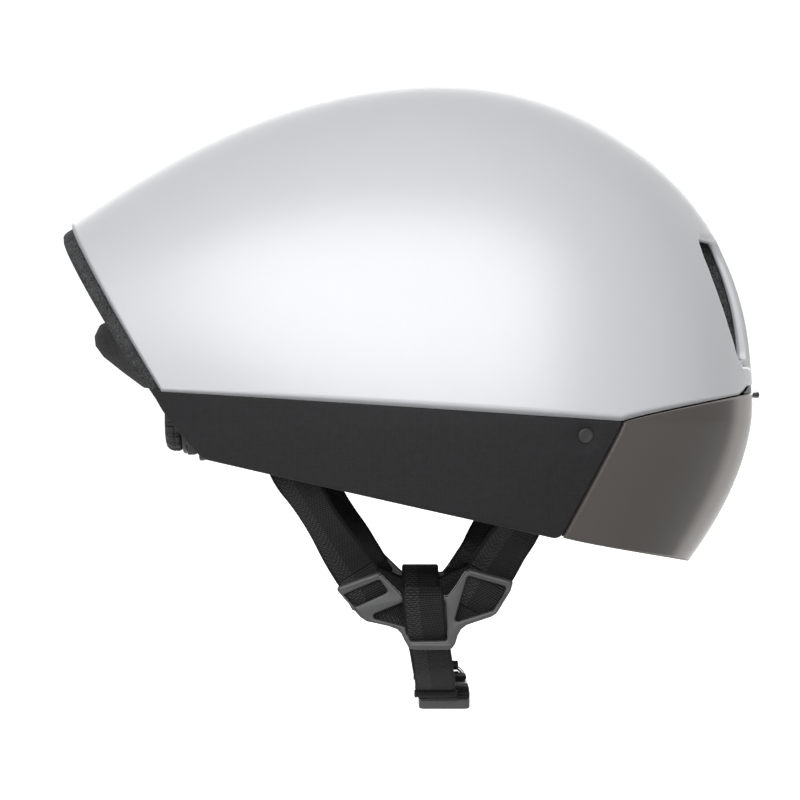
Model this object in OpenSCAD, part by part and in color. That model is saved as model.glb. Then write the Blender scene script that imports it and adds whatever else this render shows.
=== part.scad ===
// Aero time trial helmet with a magnetic visor, ear covers, fit dial and chin straps.
// Millimetres, +X forward, +Y to the wearer's left, +Z up.
// The origin is the middle of the head opening, level with the brow.

/* [Shell outline] */
// Reach of the shell from the origin to the nose
nose_x = 128.8; // [120:0.1:140]
// Height of the crown over the origin
crown_z = 134.9; // [120:0.1:150]
// How far the crown lies behind the origin
crown_back = 5; // [0:0.5:20]
// Height of the brow, where the front profile is steepest
brow_z = 8; // [4:0.5:14]
// Reach of the rear top corner behind the crown
tail_reach = 156.7; // [130:0.1:180]
// Drop of the rear top corner below the crown
tail_drop = 58.3; // [45:0.1:75]
// Reach of the rear lower corner behind the origin
tail_foot_x = 108.8; // [95:0.1:125]
// Half of the greatest width
half_w = 104; // [95:0.5:115]
// Half of the width at the tail
tail_half_w = 76; // [65:0.5:90]
// Level below which the sides turn inward
belt_z = -9; // [-14:0.5:-6]
// Wall of the outer shell
shell_wall = 1.6; // [1:0.1:2.5]

/* [Lower edge of the shell] */
// Height of the edge at the rear
edge_tail_z = 4.2; // [2:0.1:8]
// Reach of the corner between ear cover and visor
corner_x = 65.3; // [55:0.1:75]
// Depth of that corner below the origin
corner_drop = 8.2; // [6:0.1:8.8]
// Height of the edge at the nose
edge_nose_z = 4.2; // [3:0.1:6]

/* [Foam liner] */
// Thickness of the foam around the head
foam_t = 23; // [18:0.5:28]
// Thickness of the foam at the open tail
tail_foam_t = 12; // [9:0.5:16]
// Depth of the air channels over the head
channel_depth = 9; // [4:0.5:12]
// How far the foam stands out of the shell at the tail
rim_out = 5.5; // [3:0.1:9]
// How far the foam runs down behind the ear covers
skirt_drop = 15; // [8:0.5:20]
// Clearance between the foam and the shell
foam_gap = 0.3; // [0.2:0.05:0.6]

/* [Tail bridge] */
// Distance from each side of the tail to the end of the bridge
bridge_inset = 23.5; // [23:0.5:34]
// How far the middle of the bridge bows to the rear
bridge_bow = 17; // [8:0.5:22]

/* [Front vents] */
// Distance from the middle to the inner side of each vent
vent_in_y = 7; // [5:0.5:12]
// Distance from the middle to the outer side of each vent
vent_out_y = 48; // [40:0.5:52]
// Height of the bottom of the vents
vent_low_z = 14; // [12:0.5:20]
// Height of the top of the vents
vent_top_z = 67; // [55:0.5:72]
// Corner radius of the vents
vent_r = 7; // [4:0.5:9]

/* [Ear covers] */
// Thickness of a cover
cover_t = 3; // [2:0.1:4]
// Depth of the front lower corner
cover_front_drop = 53.7; // [45:0.1:62]
// Reach of the front lower corner
cover_front_x = 44; // [35:0.5:52]
// Depth of the rear lower corner
cover_rear_drop = 22.5; // [16:0.1:30]
// Reach of the rear lower corner behind the origin
cover_rear_x = 101; // [92:0.5:108]
// Reach of the rear upper corner behind the origin
cover_tail_x = 121.5; // [112:0.5:126]
// Outward bow of the rear edge
cover_bow = 2.6; // [0:0.1:5]
// Running gap between the cover, the shell and the visor
seam_gap = 0.7; // [0.4:0.1:1.2]
// Diameter of the head of a cover rivet
rivet_d = 6.2; // [5:0.1:9]
// Reach of the rivets
rivet_x = 50.4; // [44:0.5:54]
// Depth of the rivets
rivet_drop = 14; // [12:0.5:18]

/* [Visor] */
// Thickness of the lens
lens_t = 2; // [1.6:0.1:3]
// Depth of the lower edge at the middle
visor_drop = 68; // [55:0.5:80]
// How far the middle of the visor falls back over its depth
visor_fall = 27; // [15:0.5:36]
// How far the sides fall inward over the same depth
side_fall = 13.9; // [6:0.1:20]
// Length of the finger tab on the visor
tab_len = 6; // [4:0.5:9]
// Width of the finger tab
tab_w = 16; // [10:0.5:24]
// Thickness of the finger tab
tab_t = 2; // [1.5:0.1:3]
// Diameter of the holding magnets
magnet_d = 8; // [6:0.5:10]
// Thickness of the holding magnets
magnet_t = 1.6; // [1.2:0.1:1.8]

/* [Fit system] */
// Radius of the dial
dial_r = 14; // [11:0.1:18]
// Depth of the dial's axis
dial_drop = 8; // [4:0.5:14]
// Reach of the dial's rear face behind the origin
dial_rear_x = 122.4; // [116:0.1:128]
// Number of grips on the dial
dial_grips = 18; // [12:1:24]
// Diameter of the dial's shaft
shaft_d = 5; // [4:0.1:6]
// Pitch radius of the pinion
pinion_r = 5.5; // [5:0.1:7]
// Running clearance around the shaft
shaft_gap = 0.05; // [0.03:0.01:0.09]
// Width of the cradle
cradle_w = 92; // [70:1:100]
// Height of the cradle
cradle_h = 34; // [24:0.5:44]
// Thickness of cradle and housing walls
fit_wall = 2; // [1.5:0.1:3]
// Travel of the height setting below its rest place
height_travel = 10; // [6:1:12]
// Travel of the height setting above its rest place
height_lift = 3; // [1:0.5:4]

/* [Straps] */
// Width of the webbing
web_w = 16; // [12:0.5:20]
// Thickness of the webbing
web_t = 1.6; // [1:0.1:2.5]
// Thickness of a divider plate
divider_t = 3.2; // [2.4:0.1:5]
// Distance from the middle to a divider
divider_y = 64; // [56:0.5:70]
// Drop of the divider's middle
divider_drop = 85; // [76:0.5:95]
// Drop of the buckle's middle
buckle_drop = 126; // [110:0.5:134]
// Length of the buckle socket
socket_len = 26; // [20:0.5:34]
// Width of the buckle
buckle_w = 21.5; // [18:0.5:28]
// Thickness of the buckle
buckle_t = 7.6; // [6:0.1:10]

/* [Pads] */
// Thickness of the comfort pads
pad_t = 6; // [4:0.5:8]
// Clearance between a pad and what carries it
pad_gap = 0.4; // [0.3:0.05:0.8]

/* [Hidden] */

// Shape exponents: profile of the tail and nose, plan of the nose, arch across the shell, fall of the sides
tail_power = 1.95;
nose_power = 2.04;
plan_power = 2.2;
arch_power = 2.1;
edge_power = 0.85;
fall_power = 1.32;
fall_depth = 57.7;
step = 0.002;
tail_steps = 13;
side_steps = 6;
front_steps = 13;
arch_steps = 14;
fine = 64;
cut = 1;
skirt_slope = 0.5;
nose_end = 0.99;

// Places along the shell run from -1 at the tail over 0 at the crown to 1 at the nose
function front_place(x) = asin(pow(x / nose_x, plan_power / 2)) / 90;
corner_place = front_place(corner_x);
tail_places = [for (i = [0 : tail_steps]) -1 + i / tail_steps];
side_places = [for (i = [1 : side_steps]) corner_place * i / side_steps];
front_places = [
  for (i = [1 : front_steps]) corner_place + (nose_end - corner_place) * i / front_steps
];
places = concat(tail_places, side_places, front_places);

function top_x(s) = s < 0
  ? -crown_back + s * tail_reach
  : -crown_back + (nose_x + crown_back) * pow(sin(90 * s), 2 / nose_power);
function top_z(s) = s < 0
  ? crown_z - tail_drop * pow(-s, tail_power)
  : brow_z + (crown_z - brow_z) * pow(cos(90 * s), 2 / nose_power);
function foot_x(s) = s < 0 ? s * tail_foot_x : nose_x * pow(sin(90 * s), 2 / plan_power);
function foot_w(s) = s < 0
  ? half_w - (half_w - tail_half_w) * s * s
  : half_w * pow(cos(90 * s), 2 / plan_power);

// Height of the lower edge of the shell over the plan position x
edge_slope = (edge_tail_z + corner_drop) / (corner_x + cover_tail_x);
function edge_z(x) = x < corner_x
  ? -corner_drop + (corner_x - x) * edge_slope
  : -corner_drop + (edge_nose_z + corner_drop)
    * pow(min(1, (x - corner_x) / (nose_x - corner_x)), edge_power);

// Outward direction of the plan outline on the right side
function plan_dir(s) =
  let (a = s - step, b = min(nose_end, s + step))
  let (dx = foot_x(b) - foot_x(a), dy = foot_w(a) - foot_w(b))
  [dy, -dx] / norm([dx, dy]);

// Below the belt the sides and the nose fall inward with depth
function under_point(s, z) =
  let (n = plan_dir(s))
  let (fall = side_fall + (visor_fall - side_fall) * n[0] * n[0])
  let (inset = fall * pow(max(0, belt_z - z) / fall_depth, fall_power))
  [foot_x(s) - n[0] * inset, -foot_w(s) - n[1] * inset, z];

// Surface point at place s and arch angle a: 0 right belt, 90 ridge, 180 left belt, negative below
function right_point(s, a) = a < 0
  ? under_point(s, belt_z + a * skirt_slope)
  : let (k = pow(sin(a), 2 / arch_power))
    [
      foot_x(s) + (top_x(s) - foot_x(s)) * k,
      -foot_w(s) * pow(max(0, cos(a)), 2 / arch_power),
      belt_z + (top_z(s) - belt_z) * k
    ];
function skin_point(s, a) = a <= 90
  ? right_point(s, a)
  : let (p = right_point(s, 180 - a)) [p[0], -p[1], p[2]];
function unit(v) = v / norm(v);
turn = 0.5;
function normal(s, a) =
  let (s0 = s - step, s1 = min(nose_end, s + step))
  let (along = skin_point(s1, a) - skin_point(s0, a))
  let (across = skin_point(s, a + turn) - skin_point(s, a - turn))
  unit(cross(along, across));
function inner(s, a, depth) = skin_point(s, a) - depth * normal(s, a);

// Arch angle at which the surface reaches the height z
function angle_at(s, z) = z >= belt_z
  ? asin(pow(min(1, (z - belt_z) / (top_z(s) - belt_z)), arch_power / 2))
  : (z - belt_z) / skirt_slope;

// One row of angles over the arch, from the low edge on the right to the low edge on the left
function arch_angles(low) = [
  for (j = [0 : 2 * arch_steps])
    j <= arch_steps
      ? low + (90 - low) * j / arch_steps
      : 180 - low - (90 - low) * (2 * arch_steps - j) / arch_steps
];

// A closed dome wall between an outer and an inner grid, open below and at the tail
module dome_wall(outer, inside) {
  rows = len(outer);
  cols = len(outer[0]);
  half = (cols - 1) / 2;
  points = concat([for (r = outer) for (p = r) p], [for (r = inside) for (p = r) p]);
  function out(i, j) = i * cols + j;
  function inn(i, j) = rows * cols + i * cols + j;
  last = rows - 1;
  edge = cols - 1;
  faces = concat(
    [for (i = [0 : rows - 2]) for (j = [0 : cols - 2]) for (f = [
      [out(i, j), out(i, j + 1), out(i + 1, j + 1)],
      [out(i, j), out(i + 1, j + 1), out(i + 1, j)],
      [inn(i, j), inn(i + 1, j + 1), inn(i, j + 1)],
      [inn(i, j), inn(i + 1, j), inn(i + 1, j + 1)]
    ]) f],
    [for (i = [0 : rows - 2]) for (f = [
      [out(i, 0), out(i + 1, 0), inn(i + 1, 0)],
      [out(i, 0), inn(i + 1, 0), inn(i, 0)],
      [out(i, edge), inn(i, edge), inn(i + 1, edge)],
      [out(i, edge), inn(i + 1, edge), out(i + 1, edge)]
    ]) f],
    [for (j = [0 : cols - 2]) for (f = [
      [out(0, j), inn(0, j), inn(0, j + 1)],
      [out(0, j), inn(0, j + 1), out(0, j + 1)]
    ]) f],
    [for (j = [0 : half - 2]) for (f = [
      [out(last, j), out(last, j + 1), out(last, edge - j - 1)],
      [out(last, j), out(last, edge - j - 1), out(last, edge - j)],
      [inn(last, j), inn(last, edge - j - 1), inn(last, j + 1)],
      [inn(last, j), inn(last, edge - j), inn(last, edge - j - 1)]
    ]) f],
    [
      [out(last, half - 1), out(last, half), out(last, half + 1)],
      [inn(last, half - 1), inn(last, half + 1), inn(last, half)],
      [out(last, 0), out(last, edge), inn(last, edge)],
      [out(last, 0), inn(last, edge), inn(last, 0)]
    ]
  );
  polyhedron(points, faces);
}

// A closed plate between two grids of the same size
module plate(front, back) {
  rows = len(front);
  cols = len(front[0]);
  points = concat([for (r = front) for (p = r) p], [for (r = back) for (p = r) p]);
  function a(i, j) = i * cols + j;
  function b(i, j) = rows * cols + i * cols + j;
  faces = concat(
    [for (i = [0 : rows - 2]) for (j = [0 : cols - 2]) for (f = [
      [a(i, j), a(i, j + 1), a(i + 1, j + 1)],
      [a(i, j), a(i + 1, j + 1), a(i + 1, j)],
      [b(i, j), b(i + 1, j + 1), b(i, j + 1)],
      [b(i, j), b(i + 1, j), b(i + 1, j + 1)]
    ]) f],
    [for (i = [0 : rows - 2]) for (f = [
      [a(i, 0), a(i + 1, 0), b(i + 1, 0)],
      [a(i, 0), b(i + 1, 0), b(i, 0)],
      [a(i, cols - 1), b(i, cols - 1), b(i + 1, cols - 1)],
      [a(i, cols - 1), b(i + 1, cols - 1), a(i + 1, cols - 1)]
    ]) f],
    [for (j = [0 : cols - 2]) for (f = [
      [a(0, j), b(0, j), b(0, j + 1)],
      [a(0, j), b(0, j + 1), a(0, j + 1)],
      [a(rows - 1, j), a(rows - 1, j + 1), b(rows - 1, j + 1)],
      [a(rows - 1, j), b(rows - 1, j + 1), b(rows - 1, j)]
    ]) f]
  );
  polyhedron(points, faces);
}

module left_side() {
  mirror([0, 1, 0])
    children();
}

module both_sides() {
  children();
  left_side()
    children();
}

vent_lean_share = 0.12;

// Outline of the right-hand vent as seen from the front, grown by a margin
module vent_outline(margin) {
  low = vent_low_z - margin;
  high = vent_top_z + margin;
  near = vent_in_y - margin;
  far = vent_out_y + margin;
  lean = (vent_out_y - vent_in_y) * vent_lean_share;
  offset(r = vent_r)
    offset(delta = -vent_r)
      polygon([
        [-near, low], [-far + 2 * lean, low], [-far + lean, low + lean], [-far, (low + high) / 2],
        [-far + lean / 2, high], [-near, high]
      ]);
}

module vent_duct(margin) {
  translate([nose_x / 2, 0, 0])
    rotate([90, 0, 90])
      linear_extrude(nose_x / 2 + cut)
        vent_outline(margin);
}

shell_outer = [for (s = places) [for (a = arch_angles(angle_at(s, edge_z(foot_x(s))))) skin_point(s, a)]];

module outer_shell() {
  shell_inner = [
    for (s = places) [for (a = arch_angles(angle_at(s, edge_z(foot_x(s))))) inner(s, a, shell_wall)]
  ];
  color("white")
    difference() {
      dome_wall(shell_outer, shell_inner);
      both_sides()
        vent_duct(0);
    }
}

// The foam: its low edge, its outer face under the shell and covers, and its inner face with channels
rear_dir = unit([-(top_z(-1) - belt_z), 0, top_x(-1) - foot_x(-1)]);
skirt_rear_share = 0.45;
skirt_front_share = 0.7;
thin_from_share = 0.35;
channel_angle = 32;
channel_half_angle = 14;
channel_end_share = 0.9;
function foam_low_z(s) =
  let (x = foot_x(s))
  edge_z(x) - (x < corner_x
    ? skirt_drop * (1 - (1 - skirt_rear_share) * pow(min(1, abs(x) / tail_foot_x), 2))
    : skirt_drop * skirt_front_share);
foam_step_z = 12;
rim_inset = 1;
skirt_face = cover_t + 2 * foam_gap + shell_wall / 4;
function foam_out(s, a) =
  let (p = skin_point(s, a))
  p[2] > edge_z(foot_x(s)) + foam_step_z ? shell_wall + foam_gap : skirt_face;
function channel(a) =
  let (t = abs(a - 90))
  let (w = (t - channel_angle) / channel_half_angle)
  abs(w) < 1 ? pow(cos(90 * w), 2) : 0;
function tail_share(s) = s < -thin_from_share ? pow((-s - thin_from_share) / (1 - thin_from_share), 2) : 0;
function foam_in(s, a) =
  let (t = foam_t + (tail_foam_t - foam_t) * tail_share(s))
  let (dip = channel_depth * channel(a) * (1 - tail_share(s)) * (s < channel_end_share ? 1 : 0))
  shell_wall + foam_gap + t - dip;

module foam_liner() {
  foam_rows = [for (s = places) [s, arch_angles(angle_at(s, foam_low_z(s)))]];
  outer = [for (r = foam_rows) [for (a = r[1]) inner(r[0], a, foam_out(r[0], a))]];
  inside = [for (r = foam_rows) [for (a = r[1]) inner(r[0], a, foam_in(r[0], a))]];
  taper = foot_w(-1 + rear_dir[0] * rim_out / tail_foot_x) / foot_w(-1);
  rim_outer = [
    for (a = foam_rows[0][1])
      let (p = inner(-1, a, foam_out(-1, a) + rim_inset) + rear_dir * rim_out)
      [p[0], p[1] * taper, p[2]]
  ];
  rim_inside = [for (p = inside[0]) p + rear_dir * rim_out];
  color([0.28, 0.28, 0.29])
    difference() {
      dome_wall(concat([rim_outer], outer), concat([rim_inside], inside));
      both_sides() {
        vent_duct(0);
        anchor_blocks(2 * foam_gap);
        at_side(rivet_x, -rivet_drop, 0)
          translate([0, 0, -rivet_len - foam_gap])
            cylinder(h = rivet_len + cut, d = rivet_shank_d + foam_gap, $fn = fine);
      }
      magnets(skirt_face - cut, magnet_d + 2 * magnet_seat, magnet_t + 2 * magnet_seat + cut);
    }
}

// The cross-piece of foam that closes the tail under the exhaust, bowed to the rear
bridge_shares = [
  [0, 1], [-0.82, 1], [-0.95, 0.88], [-1, 0.65], [-0.96, 0.45], [-0.84, 0.22],
  [-0.66, 0.05], [-0.46, 0], [-0.32, 0.06], [-0.15, 0.3], [0, 0.7]
];
bridge_half_w = tail_half_w - bridge_inset;
bridge_front_x = 112;
bridge_depth = 24;
bridge_low_z = 8.5;
bridge_h = 26;
bridge_steps = 12;
bow_power = 1.2;
module tail_bridge() {
  rows = [
    for (i = [0 : bridge_steps])
      let (y = bridge_half_w * (2 * i / bridge_steps - 1))
      let (bow = bridge_bow * pow(cos(90 * y / bridge_half_w), bow_power))
      [for (p = bridge_shares) [
        -bridge_front_x + (bridge_depth + bow) * p[0],
        y,
        bridge_low_z + bridge_h * p[1]
      ]]
  ];
  color([0.28, 0.28, 0.29])
    tube_of(rows);
}

// A closed tube through rings of points with flat ends
module tube_of(rings) {
  n = len(rings[0]);
  m = len(rings);
  points = [for (r = rings) for (p = r) p];
  faces = concat(
    [[for (j = [n - 1 : -1 : 0]) j]],
    [for (i = [0 : m - 2]) for (j = [0 : n - 1]) for (f = [
      [i * n + j, (i + 1) * n + (j + 1) % n, (i + 1) * n + j],
      [i * n + j, i * n + (j + 1) % n, (i + 1) * n + (j + 1) % n]
    ]) f],
    [[for (j = [0 : n - 1]) (m - 1) * n + j]]
  );
  polyhedron(points, faces);
}

// Place and arch angle of the right side under the side-view point x, z
function plan_place(x) = x < 0 ? x / tail_foot_x : front_place(x);
function side_spot(x, z) =
  let (g = max(-1.1, plan_place(x)))
  let (lean = x < 0 ? (foot_x(g) - top_x(g)) / (top_z(g) - belt_z) : 0)
  let (s = plan_place(x + max(0, z - belt_z) * lean))
  [s, angle_at(s, z)];
function side_point(x, z, depth) = let (q = side_spot(x, z)) inner(q[0], q[1], depth);

// Stands its children at a side-view point, at a depth, with +Z along the outward normal
module at_spot(s, a, depth) {
  n = normal(s, a);
  translate(inner(s, a, depth))
    rotate([0, acos(n[2]), atan2(n[1], n[0])])
      children();
}

module at_side(x, z, depth) {
  q = side_spot(x, z);
  at_spot(q[0], q[1], depth)
    children();
}

// Ear cover: columns run from the rear edge to the front edge
cover_cols = 18;
cover_rows = 6;
rivet_head_t = 1.4;
rivet_shank_d = 3;
rivet_len = 8;
function mix(a, b, t) = a + (b - a) * t;
function cover_place(u, v) =
  let (top = [mix(-cover_tail_x, corner_x - seam_gap, u), 0])
  let (low = [mix(-cover_rear_x, cover_front_x - seam_gap, u), mix(-cover_rear_drop, -cover_front_drop, u)])
  let (top_z = edge_z(top[0]) - seam_gap)
  [mix(top[0], low[0], v) - cover_bow * sin(180 * v) * pow(1 - u, 3), mix(top_z, low[1], v)];
module cover_shape() {
  outer = [for (i = [0 : cover_cols]) [for (j = [0 : cover_rows])
    let (q = cover_place(i / cover_cols, j / cover_rows)) side_point(q[0], q[1], 0)]];
  inside = [for (i = [0 : cover_cols]) [for (j = [0 : cover_rows])
    let (q = cover_place(i / cover_cols, j / cover_rows)) side_point(q[0], q[1], cover_t)]];
  difference() {
    plate(inside, outer);
    at_side(rivet_x, -rivet_drop, 0)
      translate([0, 0, -cover_t - cut])
        cylinder(h = cover_t + 2 * cut, d = rivet_shank_d + foam_gap, $fn = fine);
  }
}
module ear_cover_right() {
  color([0.16, 0.16, 0.165])
    cover_shape();
}
module ear_cover_left() {
  color([0.16, 0.16, 0.165])
    left_side()
      cover_shape();
}

// The same radius is used for the shank's bore in the cover and in the foam
module rivet_shape() {
  at_side(rivet_x, -rivet_drop, 0) {
    translate([0, 0, foam_gap])
      cylinder(h = rivet_head_t - foam_gap, d = rivet_d, $fn = fine);
    translate([0, 0, -rivet_len])
      cylinder(h = rivet_len + foam_gap, d = rivet_shank_d, $fn = fine);
  }
}
module cover_rivets() {
  color([0.1, 0.1, 0.1])
    both_sides()
      rivet_shape();
}

// Visor lens: rows run down from the shell's edge, columns from the right rear edge to the left
lens_cols = 14;
lens_rows = 9;
sweep_power = 0.9;
function lens_place(u, v) =
  let (tail_x = mix(corner_x, cover_front_x, v))
  let (s = mix(front_place(tail_x + seam_gap), nose_end, u))
  let (top = edge_z(foot_x(s)) - seam_gap)
  let (low = mix(-cover_front_drop, -visor_drop, pow(u, sweep_power)))
  [s, angle_at(s, mix(top, low, v))];
function lens_grid(depth) = [
  for (j = [0 : lens_rows])
    let (right = [for (i = [0 : lens_cols])
      let (q = lens_place(i / lens_cols, j / lens_rows)) inner(q[0], q[1], depth)])
    concat(right, [for (i = [lens_cols : -1 : 0]) [right[i][0], -right[i][1], right[i][2]]])
];
module visor_lens() {
  color([0.36, 0.34, 0.31, 0.8])
    plate(lens_grid(0), lens_grid(lens_t));
}

// Finger tab at the top of the lens, seated on the front face
tab_z = 1.4;
tab_root = nose_x + foam_gap;
module visor_tab() {
  color([0.2, 0.2, 0.2])
    translate([tab_root, -tab_w / 2, tab_z - tab_t / 2])
      difference() {
        cube([tab_len - shell_wall, tab_w, tab_t]);
        for (side = [0, 1])
          translate([tab_len - shell_wall, side * tab_w, -cut])
            rotate(45)
              cube([tab_t * 2, tab_t * 2, tab_t * 4], center = true);
      }
}

// Magnets: one pair at the nose and one on each side
magnet_x = 75;
magnet_side_z = -13;
magnet_nose_z = -2;
magnet_seat = 0.3;
module magnets(depth, d, h) {
  both_sides()
    at_side(magnet_x, magnet_side_z, depth)
      translate([0, 0, -h])
        cylinder(h = h, d = d, $fn = fine);
  translate([nose_x - depth - h, 0, magnet_nose_z])
    rotate([0, 90, 0])
      cylinder(h = h, d = d, $fn = fine);
}
module visor_magnets() {
  color("silver")
    magnets(lens_t + magnet_seat + foam_gap / 2, magnet_d, magnet_t - magnet_seat - foam_gap / 2);
}
module helmet_magnets() {
  color("silver")
    magnets(skirt_face + magnet_seat, magnet_d, magnet_t);
}

// A patch of padding or band between two depths, from place s0 to s1 and height z0 to z1
module patch(s0, s1, z0, z1, d0, d1, cols, rows) {
  plate(
    [for (i = [0 : cols]) [for (j = [0 : rows]) let (s = mix(s0, s1, i / cols))
      inner(s, angle_at(s, mix(z0, z1, j / rows)), d1)]],
    [for (i = [0 : cols]) [for (j = [0 : rows]) let (s = mix(s0, s1, i / cols))
      inner(s, angle_at(s, mix(z0, z1, j / rows)), d0)]]
  );
}
foam_face = shell_wall + foam_gap + foam_t;
band_t = 1.2;
band_low = -3;
band_high = 9;
pad_face = foam_face + band_t + 2 * pad_gap;
brow_pad_high = 12.5;
band_from_share = 0.1;
band_to_share = 0.985;
brow_from_share = 0.5;
band_cols = 16;
brow_cols = 9;
side_pad_rear_share = -0.3;
side_pad_front_share = 0.2;
side_pad_low_z = 18;
side_pad_high_z = 46;
pad_cols = 6;
pad_rows = 4;
function band_grid(s0, s1, z0, z1, depth, cols, rows) = [
  for (j = [0 : rows])
    let (right = [for (i = [0 : cols]) let (s = mix(s0, s1, i / cols))
      inner(s, angle_at(s, mix(z0, z1, j / rows)), depth)])
    concat(right, [for (i = [cols : -1 : 0]) [right[i][0], -right[i][1], right[i][2]]])
];
function band_rows(depth) = band_grid(
  band_from_share, band_to_share, band_low, band_high, depth, band_cols, 2
);
module headband() {
  color([0.12, 0.12, 0.12])
    plate(
      band_rows(foam_face + pad_gap + band_t),
      band_rows(foam_face + pad_gap)
    );
}
module brow_pad() {
  color([0.1, 0.1, 0.11])
    plate(
      band_grid(brow_from_share, band_to_share, band_low, brow_pad_high, pad_face + pad_t, brow_cols, 3),
      band_grid(brow_from_share, band_to_share, band_low, brow_pad_high, pad_face, brow_cols, 3)
    );
}
module side_pad() {
  patch(
    side_pad_rear_share, side_pad_front_share, side_pad_low_z, side_pad_high_z,
    foam_face + pad_gap + pad_t, foam_face + pad_gap, pad_cols, pad_rows
  );
}
module side_pad_right() {
  color([0.1, 0.1, 0.11])
    side_pad();
}
module side_pad_left() {
  color([0.1, 0.1, 0.11])
    left_side()
      side_pad();
}
crown_pad_share = 0.26;
crown_pad_angle = 13;
module crown_pad() {
  function grid(depth) = [for (i = [0 : pad_cols]) [for (j = [0 : pad_rows])
    inner(
      mix(-crown_pad_share, crown_pad_share, i / pad_cols),
      90 + crown_pad_angle * (2 * j / pad_rows - 1), depth
    )]];
  color([0.1, 0.1, 0.11])
    plate(grid(foam_face + pad_gap), grid(foam_face + pad_gap + pad_t));
}

// Fit system: a slotted rail under the bridge, a cradle that slides on it, a dial and two toothed arms
axis_z = -dial_drop;
rail_t = 2;
rail_w = 18;
rail_top_z = bridge_low_z + bridge_h;
rail_x = -bridge_front_x;
slide_gap = 0.3;
slot_w = shaft_d + 4 * slide_gap;
slot_top_z = axis_z + height_lift + shaft_d / 2 + 2 * slide_gap;
slot_low_z = axis_z - height_travel - shaft_d / 2 - 2 * slide_gap;
rail_low_z = slot_low_z - fit_wall - slide_gap;
house_half = 15;
house_front_x = rail_x + rail_t + slide_gap + fit_wall;
house_rear_x = rail_x - slide_gap - fit_wall;
rack_x = house_front_x + slide_gap;
rack_t = 3;
cradle_x = rack_x + rack_t + slide_gap;
rack_h = 4;
tooth = 1.2;
pinion_teeth = 12;

post_d = 3.6;
post_y = 4;
post_z = pinion_r + slide_gap + rack_h + 2 * slide_gap + post_d / 2;

module height_rail() {
  color([0.14, 0.14, 0.14])
    difference() {
      translate([rail_x, -rail_w / 2, rail_low_z])
        cube([rail_t, rail_w, rail_top_z - rail_low_z]);
      translate([rail_x - cut, -slot_w / 2, slot_low_z])
        cube([rail_t + 2 * cut, slot_w, slot_top_z - slot_low_z]);
    }
}

module dial_housing() {
  color([0.13, 0.13, 0.13])
    difference() {
      translate([house_rear_x, 0, axis_z])
        rotate([0, 90, 0])
          cylinder(h = house_front_x - house_rear_x, r = house_half, $fn = fine);
      translate([rail_x - slide_gap, -rail_w / 2 - slide_gap, axis_z - house_half - cut])
        cube([rail_t + 2 * slide_gap, rail_w + 2 * slide_gap, 2 * (house_half + cut)]);
      translate([house_rear_x - cut, 0, axis_z])
        rotate([0, 90, 0])
          cylinder(h = house_front_x - house_rear_x + 2 * cut, d = shaft_d + 2 * shaft_gap, $fn = fine);
    }
}

dial_front_x = house_rear_x - slide_gap;
dial_len = dial_rear_x + dial_front_x;
grip_r = 1.2;
dial_cup_share = 0.68;
module fit_dial() {
  color([0.12, 0.12, 0.12])
    translate([-dial_rear_x, 0, axis_z])
      rotate([0, 90, 0])
        difference() {
          union() {
            cylinder(h = dial_len, r = dial_r, $fn = fine);
            cylinder(h = dial_len + (cradle_x - slide_gap - dial_front_x), d = shaft_d, $fn = fine);
          }
          for (i = [0 : dial_grips - 1])
            rotate(360 * i / dial_grips)
              translate([dial_r, 0, -cut])
                cylinder(h = dial_len + 2 * cut, r = grip_r, $fn = 24);
          translate([0, 0, -cut])
            cylinder(h = grip_r + cut, r = dial_r * dial_cup_share, $fn = fine);
        }
}

module dial_pinion() {
  color([0.7, 0.7, 0.68])
    translate([rack_x, 0, axis_z])
      rotate([0, 90, 0])
        difference() {
          union() {
            cylinder(h = rack_t, r = pinion_r - tooth / 2, $fn = fine);
            for (i = [0 : pinion_teeth - 1])
              rotate(360 * i / pinion_teeth)
                translate([0, -tooth / 2, 0])
                  cube([pinion_r, tooth, rack_t]);
          }
          translate([0, 0, -cut])
            cylinder(h = rack_t + 2 * cut, d = shaft_d, $fn = fine);
        }
}

// One toothed arm: the rack runs over the pinion, the paddle reaches round the nape
arm_clear = 4;
arm_reach = tail_half_w - tail_foam_t - arm_clear;
arm_tail = 12;
rack_teeth = 5;
paddle_w = 12;
paddle_h = 22;
module arm_shape() {
  low = axis_z + pinion_r + slide_gap;
  difference() {
    translate([rack_x, -arm_reach, low])
      cube([rack_t, arm_reach + arm_tail, rack_h]);
    for (i = [-rack_teeth : rack_teeth])
      translate([rack_x - cut, i * 2 * tooth, low - cut])
        cube([rack_t + 2 * cut, tooth, tooth / 2 + cut]);
  }
  translate([rack_x, -arm_reach, low + rack_h / 2 - paddle_h])
    cube([rack_t, paddle_w, paddle_h]);
}
module arm_right() {
  color([0.15, 0.15, 0.15])
    arm_shape();
}
module arm_left() {
  color([0.15, 0.15, 0.15])
    translate([0, 0, 2 * axis_z])
      rotate([180, 0, 0])
        arm_shape();
}

hole_place_share = 0.62;
hole_w_share = 0.36;
hole_h_share = 0.54;
nape_w_share = 0.4;
nape_h_share = 0.8;
module cradle() {
  half_span = cradle_w / 2;
  color([0.14, 0.14, 0.14])
    difference() {
      union() {
        translate([cradle_x, -half_span, axis_z - cradle_h / 2])
          cube([fit_wall, cradle_w, cradle_h]);
        for (side = [-1, 1])
          for (level = [-1, 1])
            translate([house_front_x, side * post_y, axis_z + level * post_z])
              rotate([0, 90, 0])
                cylinder(h = cradle_x - house_front_x, d = post_d, $fn = fine);
      }
      for (side = [-1, 1])
        translate([
          cradle_x - cut, side * half_span * hole_place_share - cradle_h * hole_w_share / 2,
          axis_z - cradle_h * hole_h_share / 2
        ])
          cube([fit_wall + 2 * cut, cradle_h * hole_w_share, cradle_h * hole_h_share]);
    }
}

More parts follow.
